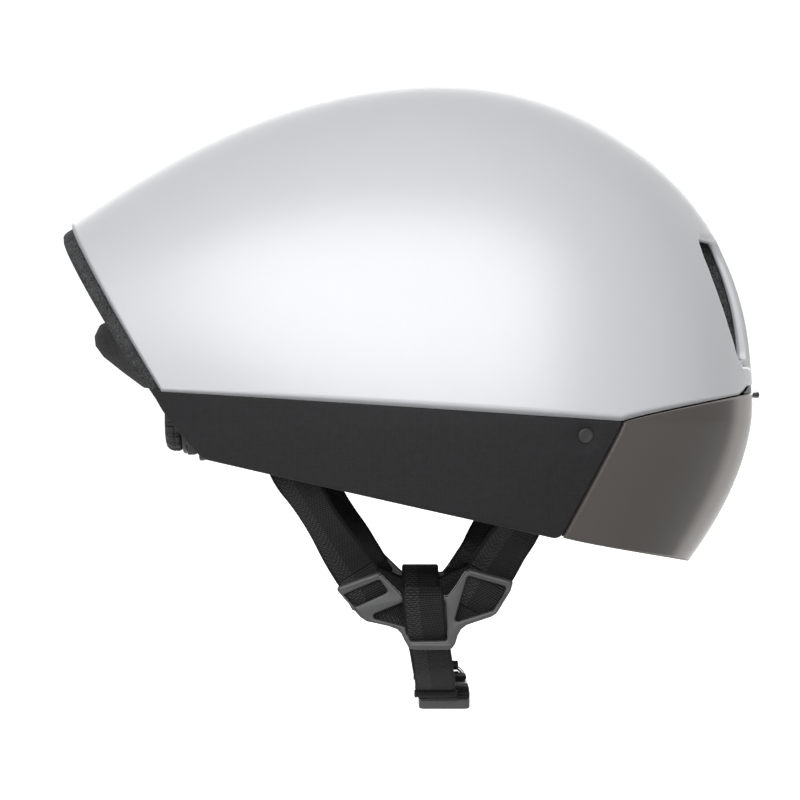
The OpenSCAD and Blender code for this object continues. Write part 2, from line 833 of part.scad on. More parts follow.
module nape_pads() {
  color([0.1, 0.1, 0.11])
    for (side = [-1, 1])
      translate([
        cradle_x + fit_wall + pad_gap, side * cradle_w / 4 - cradle_h * nape_w_share / 2,
        axis_z - cradle_h * nape_h_share / 2
      ])
        cube([pad_t / 2, cradle_h * nape_w_share, cradle_h * nape_h_share]);
}

// A strap of webbing along a smooth path, facing the direction given
function spline(a, b, c, d, t) =
  0.5 * (2 * b + (c - a) * t + (2 * a - 5 * b + 4 * c - d) * t * t + (3 * b - a - 3 * c + d) * t * t * t);
function smooth(pts, n) = [
  for (i = [0 : len(pts) - 2]) for (j = [0 : n - 1])
    spline(pts[max(0, i - 1)], pts[i], pts[i + 1], pts[min(len(pts) - 1, i + 2)], j / n),
  pts[len(pts) - 1]
];
module ribbon(pts, faces, w, t, n) {
  path = smooth(pts, n);
  facing = smooth(faces, n);
  last = len(path) - 1;
  rings = [
    for (i = [0 : last])
      let (dir = unit(path[min(last, i + 1)] - path[max(0, i - 1)]))
      let (side = unit(cross(dir, facing[i])))
      let (up = unit(cross(side, dir)))
      [for (q = [[-1, -1], [1, -1], [1, 1], [-1, 1]]) path[i] + side * w * q[0] / 2 + up * t * q[1] / 2]
  ];
  tube_of(rings);
}

// Divider plate: outline and windows as shares of its width and height
divider_w = 70;
divider_h = 32;
divider_x = -11.9;
divider_round = 1;
divider_shares = [
  [-0.48, 0.28], [-0.455, 0.33], [-0.295, 0.47], [-0.26, 0.485], [-0.24, 0.455], [-0.12, 0.2],
  [0.137, 0.2], [0.17, 0.29], [0.237, 0.505], [0.266, 0.53], [0.49, 0.395], [0.508, 0.35],
  [0.5, 0.27], [0.42, -0.015], [0.39, -0.063], [0.25, -0.17], [0.223, -0.222], [0.206, -0.3],
  [0.194, -0.405], [0.17, -0.465], [0.146, -0.478], [-0.043, -0.478], [-0.08, -0.45],
  [-0.106, -0.356], [-0.124, -0.275], [-0.154, -0.222], [-0.19, -0.188], [-0.33, -0.122],
  [-0.366, -0.07]
];
window_shares = [
  [[-0.443, 0.225], [-0.254, 0.403], [-0.203, 0.25], [-0.39, 0.063]],
  [[-0.323, -0.063], [-0.104, 0.131], [0.129, 0.131], [0.143, -0.138], [0.16, -0.362],
    [-0.08, -0.369], [-0.105, -0.188]],
  [[0.251, 0.45], [0.474, 0.313], [0.451, 0.2], [0.397, 0.02], [0.171, -0.138]]
];
function divider_points(shares) = [for (p = shares) [divider_w * p[0], divider_h * p[1]]];
module divider_shape() {
  translate([divider_x, -divider_y, -divider_drop])
    rotate([90, 0, 0])
      linear_extrude(divider_t)
        difference() {
          offset(r = divider_round)
            offset(delta = -divider_round)
              polygon(divider_points(divider_shares));
          for (w = window_shares)
            polygon(divider_points(w));
        }
}
module divider_right() {
  color([0.2, 0.2, 0.2])
    divider_shape();
}
module divider_left() {
  color([0.2, 0.2, 0.2])
    left_side()
      divider_shape();
}

// Anchors in the foam's low edge, and the straps that come out of them
anchor_rear_inset = 12.5;
anchor_front_inset = 18;
anchor_rear_x = -70;
anchor_front_x = 30;
anchor_rear = [anchor_rear_x, anchor_rear_inset - foot_w(plan_place(anchor_rear_x)), -11.5];
anchor_front = [anchor_front_x, anchor_front_inset - foot_w(plan_place(anchor_front_x)), -21];
anchor_size = [20, 6, 10];
module anchor_blocks(grow) {
  for (p = [anchor_rear, anchor_front])
    translate(p + [0, 0, anchor_size[2] / 2])
      cube(anchor_size + [grow, grow, grow], center = true);
}
module strap_anchors() {
  color([0.15, 0.15, 0.15])
    both_sides()
      difference() {
        anchor_blocks(0);
        for (p = [anchor_rear, anchor_front])
          translate(p)
            cube([web_w + 5 * slide_gap, web_t + 5 * slide_gap, anchor_size[2]], center = true);
      }
}
strap_y = divider_y - web_t / 2 - slide_gap;
flat_face = [0, -1, 0];
rear_face = [-0.5, -0.85, 0.1];
front_face = [0.3, -0.95, 0];
rear_faces = [flat_face, flat_face, rear_face, rear_face, flat_face, flat_face, flat_face];
front_faces = [flat_face, flat_face, front_face, flat_face, flat_face, flat_face];
rear_shares = [1, 1, 0.91, 0.5, 0, 0, 0];
rear_path = [
  [-70, -10.5], [-65, -25], [-59, -36], [-49.5, -54], [-40.2, -70], [-34.2, -78.5], [-27.4, -82.7]
];
front_shares = [1, 0.95, 0.57, 0, 0, 0];
front_path = [[30, -20], [27, -33], [21.5, -52], [14.8, -66], [12.1, -76.5], [5.5, -82.8]];
function strap_route(path, shares, anchor) = [
  for (i = [0 : len(path) - 1]) [path[i][0], mix(-strap_y, anchor[1], shares[i]), path[i][1]]
];
rear_route = strap_route(rear_path, rear_shares, anchor_rear);
front_route = strap_route(front_path, front_shares, anchor_front);
module rear_strap_right() {
  color([0.1, 0.1, 0.1])
    ribbon(rear_route, rear_faces, web_w, web_t, 3);
}
module rear_strap_left() {
  color([0.1, 0.1, 0.1])
    left_side()
      ribbon(rear_route, rear_faces, web_w, web_t, 3);
}
module front_strap_right() {
  color([0.1, 0.1, 0.1])
    ribbon(front_route, front_faces, web_w, web_t, 3);
}
module front_strap_left() {
  color([0.1, 0.1, 0.1])
    left_side()
      ribbon(front_route, front_faces, web_w, web_t, 3);
}

// The chin straps cross the dividers on the outside, pass behind their lower bars and meet at the buckle
buckle_x = -4.5;
buckle_half = 24;
chin_out = divider_y + divider_t;
chin_route = [
  [-11.4, -chin_out - 1.2, -77.5], [-11, -chin_out - 1.2, -84],
  [-10.4, -divider_y - divider_t / 2 - 1, -89.5], [-9.9, 1.4 - divider_y, -95.5],
  [-9.5, 3 - divider_y, -101.5], [-8.4, 12 - divider_y, -110.5], [-7.2, 26 - divider_y, -118.5],
  [-6.2, -buckle_half - 5, 0.8 - buckle_drop], [-6, -buckle_half - 2, -buckle_drop],
  [-6, -buckle_half - 0.4, -buckle_drop]
];
chin_face = [0, -1, -0.25];
module chin_shape() {
  ribbon(chin_route, [for (p = chin_route) chin_face], web_w, web_t, 3);
}
module chin_strap_right() {
  color([0.1, 0.1, 0.1])
    chin_shape();
}
module chin_strap_left() {
  color([0.1, 0.1, 0.1])
    left_side()
      chin_shape();
}

socket_side = 3;
socket_cover = 2;
tongue_w = buckle_w - 2 * socket_side;
tongue_t = buckle_t - 2 * socket_cover;
socket_wall = 1.6;
throat_share = 0.35;
module buckle_socket() {
  color([0.14, 0.14, 0.14])
    translate([buckle_x, -buckle_half, -buckle_drop])
      difference() {
        translate([-buckle_w / 2, 0, -buckle_t / 2])
          cube([buckle_w, socket_len, buckle_t]);
        translate([-tongue_w / 2 - slide_gap, socket_len * throat_share, -tongue_t / 2 - slide_gap])
          cube([tongue_w + 2 * slide_gap, socket_len, tongue_t + 2 * slide_gap]);
        translate([-web_w / 2 - slide_gap, socket_wall * 2, -buckle_t / 2 - cut])
          cube([web_w + 2 * slide_gap, web_t * 2, buckle_t + 2 * cut]);
      }
}
prong_len = 14;
prong_w = 4.5;
prong_root = 1;
module buckle_tongue() {
  front = socket_len - buckle_half + slide_gap;
  color([0.14, 0.14, 0.14])
    translate([buckle_x, 0, -buckle_drop])
      difference() {
        union() {
          translate([-buckle_w / 2, front, -buckle_t / 2])
            cube([buckle_w, buckle_half - front, buckle_t]);
          for (side = [-1, 1])
            translate([side * (tongue_w - prong_w) / 2 - prong_w / 2, front - prong_len, -tongue_t / 2])
              cube([prong_w, prong_len + prong_root, tongue_t]);
        }
        translate([-web_w / 2 - slide_gap, buckle_half - 2 * socket_wall - 2 * web_t, -buckle_t / 2 - cut])
          cube([web_w + 2 * slide_gap, web_t * 2, buckle_t + 2 * cut]);
      }
}
tail_lift = buckle_t / 2 + web_t / 2 + slide_gap;
tail_w_share = 0.5;
tail_route = [
  [2, 20, tail_lift - buckle_drop], [2.4, 24, 5.4 - buckle_drop], [3.6, 28, 9 - buckle_drop],
  [4.4, 30, 12.5 - buckle_drop]
];
tail_facing = [[0, 0, 1], [0, 0.3, 1], [0, 0.7, 1], [0, 1, 1]];
module strap_tail() {
  color([0.1, 0.1, 0.1])
    ribbon(tail_route, tail_facing, web_w * tail_w_share, web_t, 3);
}

outer_shell();
foam_liner();
tail_bridge();
ear_cover_right();
ear_cover_left();
cover_rivets();
visor_lens();
visor_tab();
visor_magnets();
helmet_magnets();
headband();
brow_pad();
crown_pad();
side_pad_right();
side_pad_left();
height_rail();
cradle();
dial_housing();
fit_dial();
dial_pinion();
arm_right();
arm_left();
nape_pads();
rear_strap_right();
rear_strap_left();
front_strap_right();
front_strap_left();
strap_anchors();
divider_right();
divider_left();
chin_strap_right();
chin_strap_left();
buckle_socket();
buckle_tongue();
strap_tail();
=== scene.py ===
import bpy
import bmesh
import math
import numpy as np
from mathutils import Vector, Matrix


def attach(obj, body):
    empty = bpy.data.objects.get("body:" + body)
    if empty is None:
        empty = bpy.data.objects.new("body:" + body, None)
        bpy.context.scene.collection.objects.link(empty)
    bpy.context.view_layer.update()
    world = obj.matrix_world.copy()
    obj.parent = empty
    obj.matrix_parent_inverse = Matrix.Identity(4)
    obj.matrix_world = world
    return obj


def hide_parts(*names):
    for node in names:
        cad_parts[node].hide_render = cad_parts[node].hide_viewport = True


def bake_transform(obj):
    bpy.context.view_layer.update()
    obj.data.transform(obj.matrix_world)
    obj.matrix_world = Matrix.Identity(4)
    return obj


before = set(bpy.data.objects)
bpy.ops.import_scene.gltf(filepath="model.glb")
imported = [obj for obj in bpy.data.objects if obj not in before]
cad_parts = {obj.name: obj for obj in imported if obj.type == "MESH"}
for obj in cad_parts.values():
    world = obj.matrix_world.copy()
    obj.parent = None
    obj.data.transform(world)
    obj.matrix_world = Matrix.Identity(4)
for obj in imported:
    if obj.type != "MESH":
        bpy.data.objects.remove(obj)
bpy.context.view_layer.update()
mm = 0.001

# outline of the helmet in mm: X forward, Y to the wearer's left, Z up, place s from -1 tail to 1 nose
form = {
    "noseX": 128.8, "crownZ": 134.9, "crownBack": 5.0, "browZ": 8.0,
    "tailReach": 156.7, "tailDrop": 58.3, "tailFootX": 108.8,
    "halfW": 104.0, "tailHalfW": 76.0, "beltZ": -9.0,
    "edgeTailZ": 4.2, "cornerX": 65.3, "cornerDrop": 8.2, "edgeNoseZ": 4.2, "coverTailX": 121.5,
    "tailPower": 1.95, "nosePower": 2.04, "planPower": 2.2, "archPower": 2.1,
    "edgePower": 0.85, "rakePower": 1.32, "rakeDepth": 57.7, "sideRake": 13.9, "visorRake": 27.0,
    "skirtSlope": 0.5, "lastPlace": 0.9995,
}


def mix(a, b, t):
    return a + (b - a) * t


def power(v, p):
    return np.power(np.clip(v, 0, None), p)


def unit(v):
    return v / np.maximum(np.linalg.norm(v, axis=-1, keepdims=True), 1e-12)


def quarter(s):
    return np.pi / 2 * np.clip(s, 0, 1)


def topX(s):
    nose = mix(-form["crownBack"], form["noseX"], power(np.sin(quarter(s)), 2 / form["nosePower"]))
    return np.where(s < 0, -form["crownBack"] + s * form["tailReach"], nose)


def topZ(s):
    nose = mix(form["browZ"], form["crownZ"], power(np.cos(quarter(s)), 2 / form["nosePower"]))
    return np.where(s < 0, form["crownZ"] - form["tailDrop"] * power(-s, form["tailPower"]), nose)


def footX(s):
    return np.where(s < 0, s * form["tailFootX"], form["noseX"] * power(np.sin(quarter(s)), 2 / form["planPower"]))


def footW(s):
    front = form["halfW"] * power(np.cos(quarter(s)), 2 / form["planPower"])
    return np.where(s < 0, mix(form["halfW"], form["tailHalfW"], s * s), front)


def edgeZ(x):
    # lower edge of the shell: straight from the tail to the corner, then up to the nose
    slope = (form["edgeTailZ"] + form["cornerDrop"]) / (form["cornerX"] + form["coverTailX"])
    ahead = power(np.minimum(1, (x - form["cornerX"]) / (form["noseX"] - form["cornerX"])), form["edgePower"])
    front = mix(-form["cornerDrop"], form["edgeNoseZ"], ahead)
    return np.where(x < form["cornerX"], -form["cornerDrop"] + (form["cornerX"] - x) * slope, front)


def planDir(s):
    lo, hi = s - 0.002, np.minimum(0.9999, s + 0.002)
    return unit(np.stack([footW(lo) - footW(hi), footX(lo) - footX(hi)], axis=-1))


def skinPoint(s, a):
    # point on the outer skin at place s and angle a: 90 is the top, below 0 the skirt, over 90 the left side
    s, a = np.broadcast_arrays(np.asarray(s, float), np.asarray(a, float))
    b = np.where(a > 90, 180 - a, a)
    fx, fw = footX(s), footW(s)
    up = np.radians(np.clip(b, 0, 90))
    k = power(np.sin(up), 2 / form["archPower"])
    over = np.stack([mix(fx, topX(s), k), -fw * power(np.cos(up), 2 / form["archPower"]),
                     mix(form["beltZ"], topZ(s), k)], axis=-1)
    n = planDir(s)
    z = form["beltZ"] + np.minimum(b, 0) * form["skirtSlope"]
    rake = mix(form["sideRake"], form["visorRake"], n[..., 0] ** 2)
    inset = rake * power((form["beltZ"] - z) / form["rakeDepth"], form["rakePower"])
    skirt = np.stack([fx - n[..., 0] * inset, -fw - n[..., 1] * inset, z], axis=-1)
    p = np.where((b < 0)[..., None], skirt, over)
    p[..., 1] *= np.where(a > 90, -1.0, 1.0)
    return p


def skinNormal(s, a):
    s, a = np.broadcast_arrays(np.asarray(s, float), np.asarray(a, float))
    along = skinPoint(np.minimum(0.9999, s + 0.002), a) - skinPoint(s - 0.002, a)
    return unit(np.cross(along, skinPoint(s, a + 0.5) - skinPoint(s, a - 0.5)))


def under(s, a, depth):
    return skinPoint(s, a) - np.asarray(depth, float)[..., None] * skinNormal(s, a)


def angleAt(s, z):
    k = np.clip((z - form["beltZ"]) / (topZ(s) - form["beltZ"]), 0, 1)
    arch = np.degrees(np.arcsin(np.minimum(1, power(k, form["archPower"] / 2))))
    return np.where(z >= form["beltZ"], arch, (z - form["beltZ"]) / form["skirtSlope"])


def frontPlace(x):
    return np.degrees(np.arcsin(np.minimum(1, power(x / form["noseX"], form["planPower"] / 2)))) / 90


def sideSpot(x, z):
    # place and angle of the skin beside the point x, z
    x, z = np.broadcast_arrays(np.asarray(x, float), np.asarray(z, float))
    s = np.maximum(-1.1, np.where(x < 0, x / form["tailFootX"], frontPlace(x)))
    lean = np.where(x < 0, (footX(s) - topX(s)) / (topZ(s) - form["beltZ"]), 0)
    x = x + np.maximum(0, z - form["beltZ"]) * lean
    s = np.where(x < 0, x / form["tailFootX"], frontPlace(x))
    return s, angleAt(s, z)


# mesh helpers
def addObject(name, data):
    obj = bpy.data.objects.new(name, data)
    bpy.context.collection.objects.link(obj)
    return obj


def makeObject(name, verts, faces, mats=(), uv=None, scale=mm):
    mesh = bpy.data.meshes.new(name)
    mesh.from_pydata([tuple(float(c) * scale for c in v) for v in verts], [], [tuple(f) for f in faces])
    mesh.validate()
    for m in mats:
        mesh.materials.append(m)
    mesh.shade_smooth()
    if uv is not None:
        layer = mesh.uv_layers.new(name="uv")
        for loop in mesh.loops:
            layer.data[loop.index].uv = uv[loop.vertex_index]
    return addObject(name, mesh)


def outward(obj, near=1e-7, thin=1e-8):
    # welds points that meet and turns every face outward
    bm = bmesh.new()
    bm.from_mesh(obj.data)
    bmesh.ops.remove_doubles(bm, verts=bm.verts, dist=near)
    bmesh.ops.dissolve_degenerate(bm, edges=bm.edges, dist=thin)
    bmesh.ops.recalc_face_normals(bm, faces=bm.faces)
    bm.to_mesh(obj.data)
    bm.free()
    return obj


def softAngle(obj, degrees=35):
    obj.data.shade_smooth()
    obj.data.set_sharp_from_angle(angle=math.radians(degrees))
    return obj


def repaint(obj, mat):
    obj.data.materials.clear()
    obj.data.materials.append(mat)
    obj.data.shade_smooth()
    return obj


def meshOf(obj):
    return bpy.data.meshes.new_from_object(obj.evaluated_get(bpy.context.evaluated_depsgraph_get()))


def bake(obj):
    # makes the modifiers real and takes them off
    made = meshOf(obj)
    obj.modifiers.clear()
    obj.data = made
    return obj


def stitch(ringA, ringB):
    n = len(ringA)
    return [(ringA[i], ringA[(i + 1) % n], ringB[(i + 1) % n], ringB[i]) for i in range(n)]


def addRings(verts, faces, last, rings, end=None, flip=False):
    # stitches ring after ring of new points onto the ring last, and then onto the ring end
    made = []
    for ring in rings:
        now = list(range(len(verts), len(verts) + len(ring)))
        verts += list(ring)
        made += stitch(last, now) if last else []
        last = now
    made += stitch(last, end) if end else []
    faces += [f[::-1] for f in made] if flip else made
    return last


def loft(name, rings, mats=(), uv=None, caps=True):
    # a closed skin over rings of points
    verts, faces = [], []
    end = addRings(verts, faces, None, rings)
    if caps:
        faces += [tuple(range(len(rings[0])))[::-1], tuple(end)]
    return outward(makeObject(name, verts, faces, mats, uv))


def sheetFaces(rows, cols, skip=None):
    # faces of an outer grid and of the inner grid that follows it
    faces, count = [], rows * cols
    for i in range(rows - 1):
        for j in range(cols - 1):
            if skip and skip(i, j):
                continue
            a, b, c, d = i * cols + j, i * cols + j + 1, (i + 1) * cols + j + 1, (i + 1) * cols + j
            faces += [(a, b, c, d), (count + a, count + d, count + c, count + b)]
    return faces


def roundRim(verts, faces, loop, count, bulge=1.0, steps=3):
    # closes the outer and the inner grid along a loop with a half round
    outer, inside = (np.array([verts[shift + k] for k in loop]) for shift in (0, count))
    mid, across = (outer + inside) / 2, (outer - inside) / 2
    tangent = np.roll(outer, -1, 0) - np.roll(outer, 1, 0)
    out = unit(np.cross(unit(tangent), unit(across))) * np.linalg.norm(across, axis=-1, keepdims=True)
    turns = [math.pi * k / (steps + 1) for k in range(1, steps + 1)]
    rings = [mid + across * math.cos(t) + out * bulge * math.sin(t) for t in turns]
    addRings(verts, faces, loop, rings, [count + k for k in loop])


def wall(name, out, inn, mats, bulge=1.0, steps=3):
    # a closed sheet between two grids, its four edges rounded
    rows, cols = out.shape[:2]
    verts = list(out.reshape(-1, 3)) + list(inn.reshape(-1, 3))
    faces = sheetFaces(rows, cols)
    loop = list(range(cols)) + [i * cols + cols - 1 for i in range(1, rows)]
    loop += [(rows - 1) * cols + j for j in range(cols - 2, -1, -1)] + [i * cols for i in range(rows - 2, 0, -1)]
    roundRim(verts, faces, loop, rows * cols, bulge, steps)
    return outward(makeObject(name, verts, faces, mats))


def mirrored(points):
    return np.asarray(points) * np.array([1.0, -1.0, 1.0])


def bothSides(half):
    # a right-hand grid carried on over the middle to the left
    return np.concatenate([half, mirrored(half[:, ::-1])], axis=1)


def grid(rows, cols):
    return np.meshgrid(np.linspace(0, 1, rows), np.linspace(0, 1, cols), indexing="ij")


def lathe(name, profile, mats, count=64, place=(0, 0, 0), axis=(0, 0, 1), wave=None, closed=False):
    # a turned form from (radius, height) pairs; a closed profile makes a ring, wave changes the radius
    turn = np.linspace(0, 2 * math.pi, count, endpoint=False)
    aim = np.array(Vector((0, 0, 1)).rotation_difference(Vector(axis)).to_matrix())
    rings = []
    for r, h in profile:
        out = r * (wave(turn, r) if wave else np.ones(count))
        ring = np.stack([out * np.cos(turn), out * np.sin(turn), np.full(count, float(h))], -1)
        rings.append(ring @ aim.T + np.array(place))
    return loft(name, rings, mats, caps=not closed)


def sweptBar(name, pts, radius, mats, count=10, up=(0, 1, 0)):
    # a round bar along points, with domed ends
    path = np.asarray(pts, float)
    last = len(path) - 1
    first, end = unit(path[1] - path[0]), unit(path[-1] - path[-2])
    dome = [(radius * math.sin(a), max(0.02, math.cos(a))) for a in (math.pi / 2, math.pi / 3, math.pi / 6)]
    rows = [(path[0] - first * far, size, first) for far, size in dome]
    rows += [(path[i], 1.0, unit(path[min(last, i + 1)] - path[max(0, i - 1)])) for i in range(last + 1)]
    rows += [(path[-1] + end * far, size, end) for far, size in dome[::-1]]
    rings = []
    for centre, size, way in rows:
        side = unit(np.cross(way, np.array(up, float)))
        lift = np.cross(side, way)
        rings.append([centre + size * radius * (side * math.cos(t) + lift * math.sin(t))
                      for t in np.linspace(0, 2 * math.pi, count, endpoint=False)])
    return loft(name, rings, mats)


def roundedOutline(points, r, step=0.5):
    # corner-rounded closed line through the given points
    pts = np.asarray(points, float)
    n = len(pts)
    line = []
    for i in range(n):
        a, b, c = pts[i - 1], pts[i], pts[(i + 1) % n]
        u, w = unit(a - b), unit(c - b)
        half = math.acos(max(-1, min(1, float(u @ w)))) / 2
        reach = min(r / math.tan(half), 0.48 * np.linalg.norm(a - b), 0.48 * np.linalg.norm(c - b))
        bend = reach * math.tan(half)
        centre = b + unit(u + w) * bend / math.sin(half)
        first, last = (math.atan2(*(b + way * reach - centre)[::-1]) for way in (u, w))
        turn = (last - first + math.pi) % (2 * math.pi) - math.pi
        m = max(3, int(abs(turn) * bend / step))
        for t in first + turn * np.arange(m + 1) / m:
            line.append(centre + bend * np.array([math.cos(t), math.sin(t)]))
    return np.array(line)


def rectangle(x0, y0, x1, y1):
    return [(x0, y0), (x1, y0), (x1, y1), (x0, y1)]


def ringPoints(y, z, r, n=8):
    return [(y + r * math.cos(2 * math.pi * k / n), z + r * math.sin(2 * math.pi * k / n)) for k in range(n)]


def cutPlate(name, outer, holes, thick, bevel, mats, roundTo, place):
    # a flat plate with rounded corners, openings and rolled edges, drawn in its own XY plane
    curve = bpy.data.curves.new(name, "CURVE")
    curve.dimensions = "2D"
    curve.fill_mode = "BOTH"
    curve.extrude = max(0.01, thick / 2 - bevel) * mm
    curve.bevel_depth = bevel * mm
    curve.bevel_resolution = 3
    curve.offset = -bevel * mm
    for line in [outer, *holes]:
        pts = roundedOutline(line, roundTo, 0.35)
        spline = curve.splines.new("POLY")
        spline.points.add(len(pts) - 1)
        for p, q in zip(spline.points, pts):
            p.co = (q[0] * mm, q[1] * mm, 0, 1)
        spline.use_cyclic_u = True
    holder = addObject(name + "Line", curve)
    mesh = meshOf(holder)
    bpy.data.objects.remove(holder)
    mesh.materials.clear()
    for m in mats:
        mesh.materials.append(m)
    mesh.transform(place)
    return softAngle(outward(addObject(name, mesh), 2e-6, 2e-6), 40)


def standYZ(x):
    # a plate drawn as (Y, Z), thick along X
    return Matrix(((0, 0, 1, x * mm), (1, 0, 0, 0), (0, 1, 0, 0), (0, 0, 0, 1)))


def joined(name, objs):
    # several finished meshes as one piece
    bm = bmesh.new()
    mats = []
    for o in objs:
        temp = o.data.copy()
        for f in temp.polygons:
            f.material_index += len(mats)
        mats += list(o.data.materials)
        bm.from_mesh(temp)
        bpy.data.meshes.remove(temp)
        bpy.data.objects.remove(o)
    mesh = bpy.data.meshes.new(name)
    bm.to_mesh(mesh)
    bm.free()
    for m in mats:
        mesh.materials.append(m)
    return addObject(name, mesh)


def mirrorCopy(obj, name):
    mesh = obj.data.copy()
    mesh.name = name
    mesh.transform(Matrix.Scale(-1, 4, (0, 1, 0)))
    mesh.flip_normals()
    return addObject(name, mesh)


def settle(obj, body, finish, *nodes):
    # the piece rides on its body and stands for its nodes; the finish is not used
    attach(obj, body)
    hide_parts(*nodes)
    return obj


# node helpers
def fill(tree, node, **values):
    # each value goes to the socket of that name, a socket as a link, or else to the setting of that name
    for key, value in values.items():
        label = key.replace("_", " ")
        if label not in node.inputs:
            setattr(node, key, value)
        elif isinstance(value, bpy.types.NodeSocket):
            tree.links.new(value, node.inputs[label])
        else:
            node.inputs[label].default_value = value
    return node


def addNode(tree, kind, **values):
    return fill(tree, tree.nodes.new(kind), **values)


def mathNode(tree, operation, a, b=None):
    # one sum; each side is a socket or a number
    node = addNode(tree, "ShaderNodeMath", operation=operation)
    for slot, value in ((0, a), (1, b)):
        if isinstance(value, bpy.types.NodeSocket):
            tree.links.new(value, node.inputs[slot])
        elif value is not None:
            node.inputs[slot].default_value = value
    return node.outputs[0]


def plus(tree, a, b):
    return mathNode(tree, "ADD", a, b)


def times(tree, a, b):
    return mathNode(tree, "MULTIPLY", a, b)


def wave(tree, at, length):
    return mathNode(tree, "SINE", times(tree, at, 2 * math.pi / length))


def ownPlace(tree):
    return addNode(tree, "ShaderNodeTexCoord").outputs["Object"]


def noise(tree, at, scale, detail=2.0, distortion=0.0):
    node = addNode(tree, "ShaderNodeTexNoise", Vector=at, Scale=scale, Detail=detail, Distortion=distortion)
    return node.outputs["Fac"]


def bumpFrom(tree, height, strength, distance):
    node = addNode(tree, "ShaderNodeBump", Strength=strength, Distance=distance, Height=height)
    return node.outputs["Normal"]


def shadeBy(tree, colour, amount):
    # a colour made lighter or darker by a number
    node = addNode(tree, "ShaderNodeVectorMath", operation="SCALE", Scale=amount)
    if isinstance(colour, bpy.types.NodeSocket):
        tree.links.new(colour, node.inputs[0])
    else:
        node.inputs[0].default_value = colour
    return node.outputs[0]


def newMaterial(name, base, rough, **more):
    mat = bpy.data.materials.new(name)
    mat.use_nodes = True
    shader = mat.node_tree.nodes["Principled BSDF"]
    fill(mat.node_tree, shader, Base_Color=(*base, 1), Roughness=rough, **more)
    return mat, mat.node_tree, shader


def newGroup(name, inputs, outputs):
    # a shader group: a colour or a number for each input, and the kind of each output
    tree = bpy.data.node_groups.new(name, "ShaderNodeTree")
    for label, value in inputs.items():
        kind = "NodeSocketColor" if isinstance(value, tuple) else "NodeSocketFloat"
        tree.interface.new_socket(label, in_out="INPUT", socket_type=kind).default_value = value
    for label, kind in outputs.items():
        tree.interface.new_socket(label, in_out="OUTPUT", socket_type="NodeSocket" + kind)
    return tree, tree.nodes.new("NodeGroupInput").outputs, tree.nodes.new("NodeGroupOutput")


def grainGroup():
    # moulded surface: fine grain, slow changes of shade and gloss
    tree, start, end = newGroup(
        "mouldedGrain",
        {"Colour": (0.05, 0.05, 0.05, 1), "Roughness": 0.4, "Scale": 2200.0, "Depth": 0.00004, "Variation": 0.15},
        {"Colour": "Color", "Roughness": "Float", "Normal": "Vector"})
    at = ownPlace(tree)
    grain = noise(tree, at, start["Scale"], 3.0)
    drift = noise(tree, at, 55.0, 4.0)
    swing = times(tree, plus(tree, plus(tree, drift, grain), -1.0), start["Variation"])
    shade = plus(tree, times(tree, swing, 2.0), 1.0)
    fill(tree, end, Colour=shadeBy(tree, start["Colour"], shade),
         Roughness=plus(tree, start["Roughness"], times(tree, swing, 0.8)),
         Normal=bumpFrom(tree, grain, 0.7, start["Depth"]))
    return tree


def weaveGroup():
    # plain weave seen on the XZ plane: threads go over and under each other
    tree, start, end = newGroup(
        "plainWeave", {"Colour": (0.03, 0.03, 0.03, 1), "Pitch": 0.0009, "Depth": 0.0001, "Contrast": 0.6},
        {"Colour": "Color", "Normal": "Vector"})
    at = ownPlace(tree)
    parts = addNode(tree, "ShaderNodeSeparateXYZ", Vector=at).outputs
    warp, weft = (mathNode(tree, "DIVIDE", parts[axis], start["Pitch"]) for axis in "XZ")
    flat = addNode(tree, "ShaderNodeCombineXYZ", X=warp, Y=weft)
    over = addNode(tree, "ShaderNodeTexChecker", Vector=flat.outputs[0], Scale=1.0)
    threads = [mathNode(tree, "ABSOLUTE", wave(tree, thread, 2.0)) for thread in (warp, weft)]
    height = addNode(tree, "ShaderNodeMix", data_type="FLOAT", Factor=over.outputs["Fac"], A=threads[0],
                     B=threads[1]).outputs[0]
    uneven = times(tree, noise(tree, at, 420.0, 3.0), 0.5)
    shade = plus(tree, plus(tree, times(tree, height, start["Contrast"]), uneven), 0.4)
    fill(tree, end, Colour=shadeBy(tree, start["Colour"], shade), Normal=bumpFrom(tree, height, 0.8, start["Depth"]))
    return tree


def fuzzGroup():
    # short brushed fibres: soft clumps over fine hair
    tree, start, end = newGroup(
        "brushedFibre", {"Colour": (0.03, 0.03, 0.03, 1), "Scale": 900.0, "Depth": 0.0002},
        {"Colour": "Color", "Normal": "Vector"})
    at = ownPlace(tree)
    mixed = plus(tree, noise(tree, at, start["Scale"], 5.0, 1.2), noise(tree, at, 140.0, 3.0))
    fill(tree, end, Colour=shadeBy(tree, start["Colour"], mixed), Normal=bumpFrom(tree, mixed, 0.6, start["Depth"]))
    return tree


grain, weave, fuzz = grainGroup(), weaveGroup(), fuzzGroup()


def dressed(name, base, rough, group, values, **more):
    # a material whose colour, normal and, where the group gives it, gloss come from a group
    mat, tree, shader = newMaterial(name, base, rough, **more)
    skin = addNode(tree, "ShaderNodeGroup", node_tree=group, Colour=(*base, 1), **values)
    fill(tree, shader, Base_Color=skin.outputs["Colour"], Normal=skin.outputs["Normal"])
    if "Roughness" in skin.outputs:
        fill(tree, shader, Roughness=skin.outputs["Roughness"])
    return mat


def moulded(name, base, rough, variation=0.15, scale=2200.0, depth=0.00004, **more):
    values = {"Roughness": rough, "Scale": scale, "Depth": depth, "Variation": variation}
    return dressed(name, base, rough, grain, values, **more)


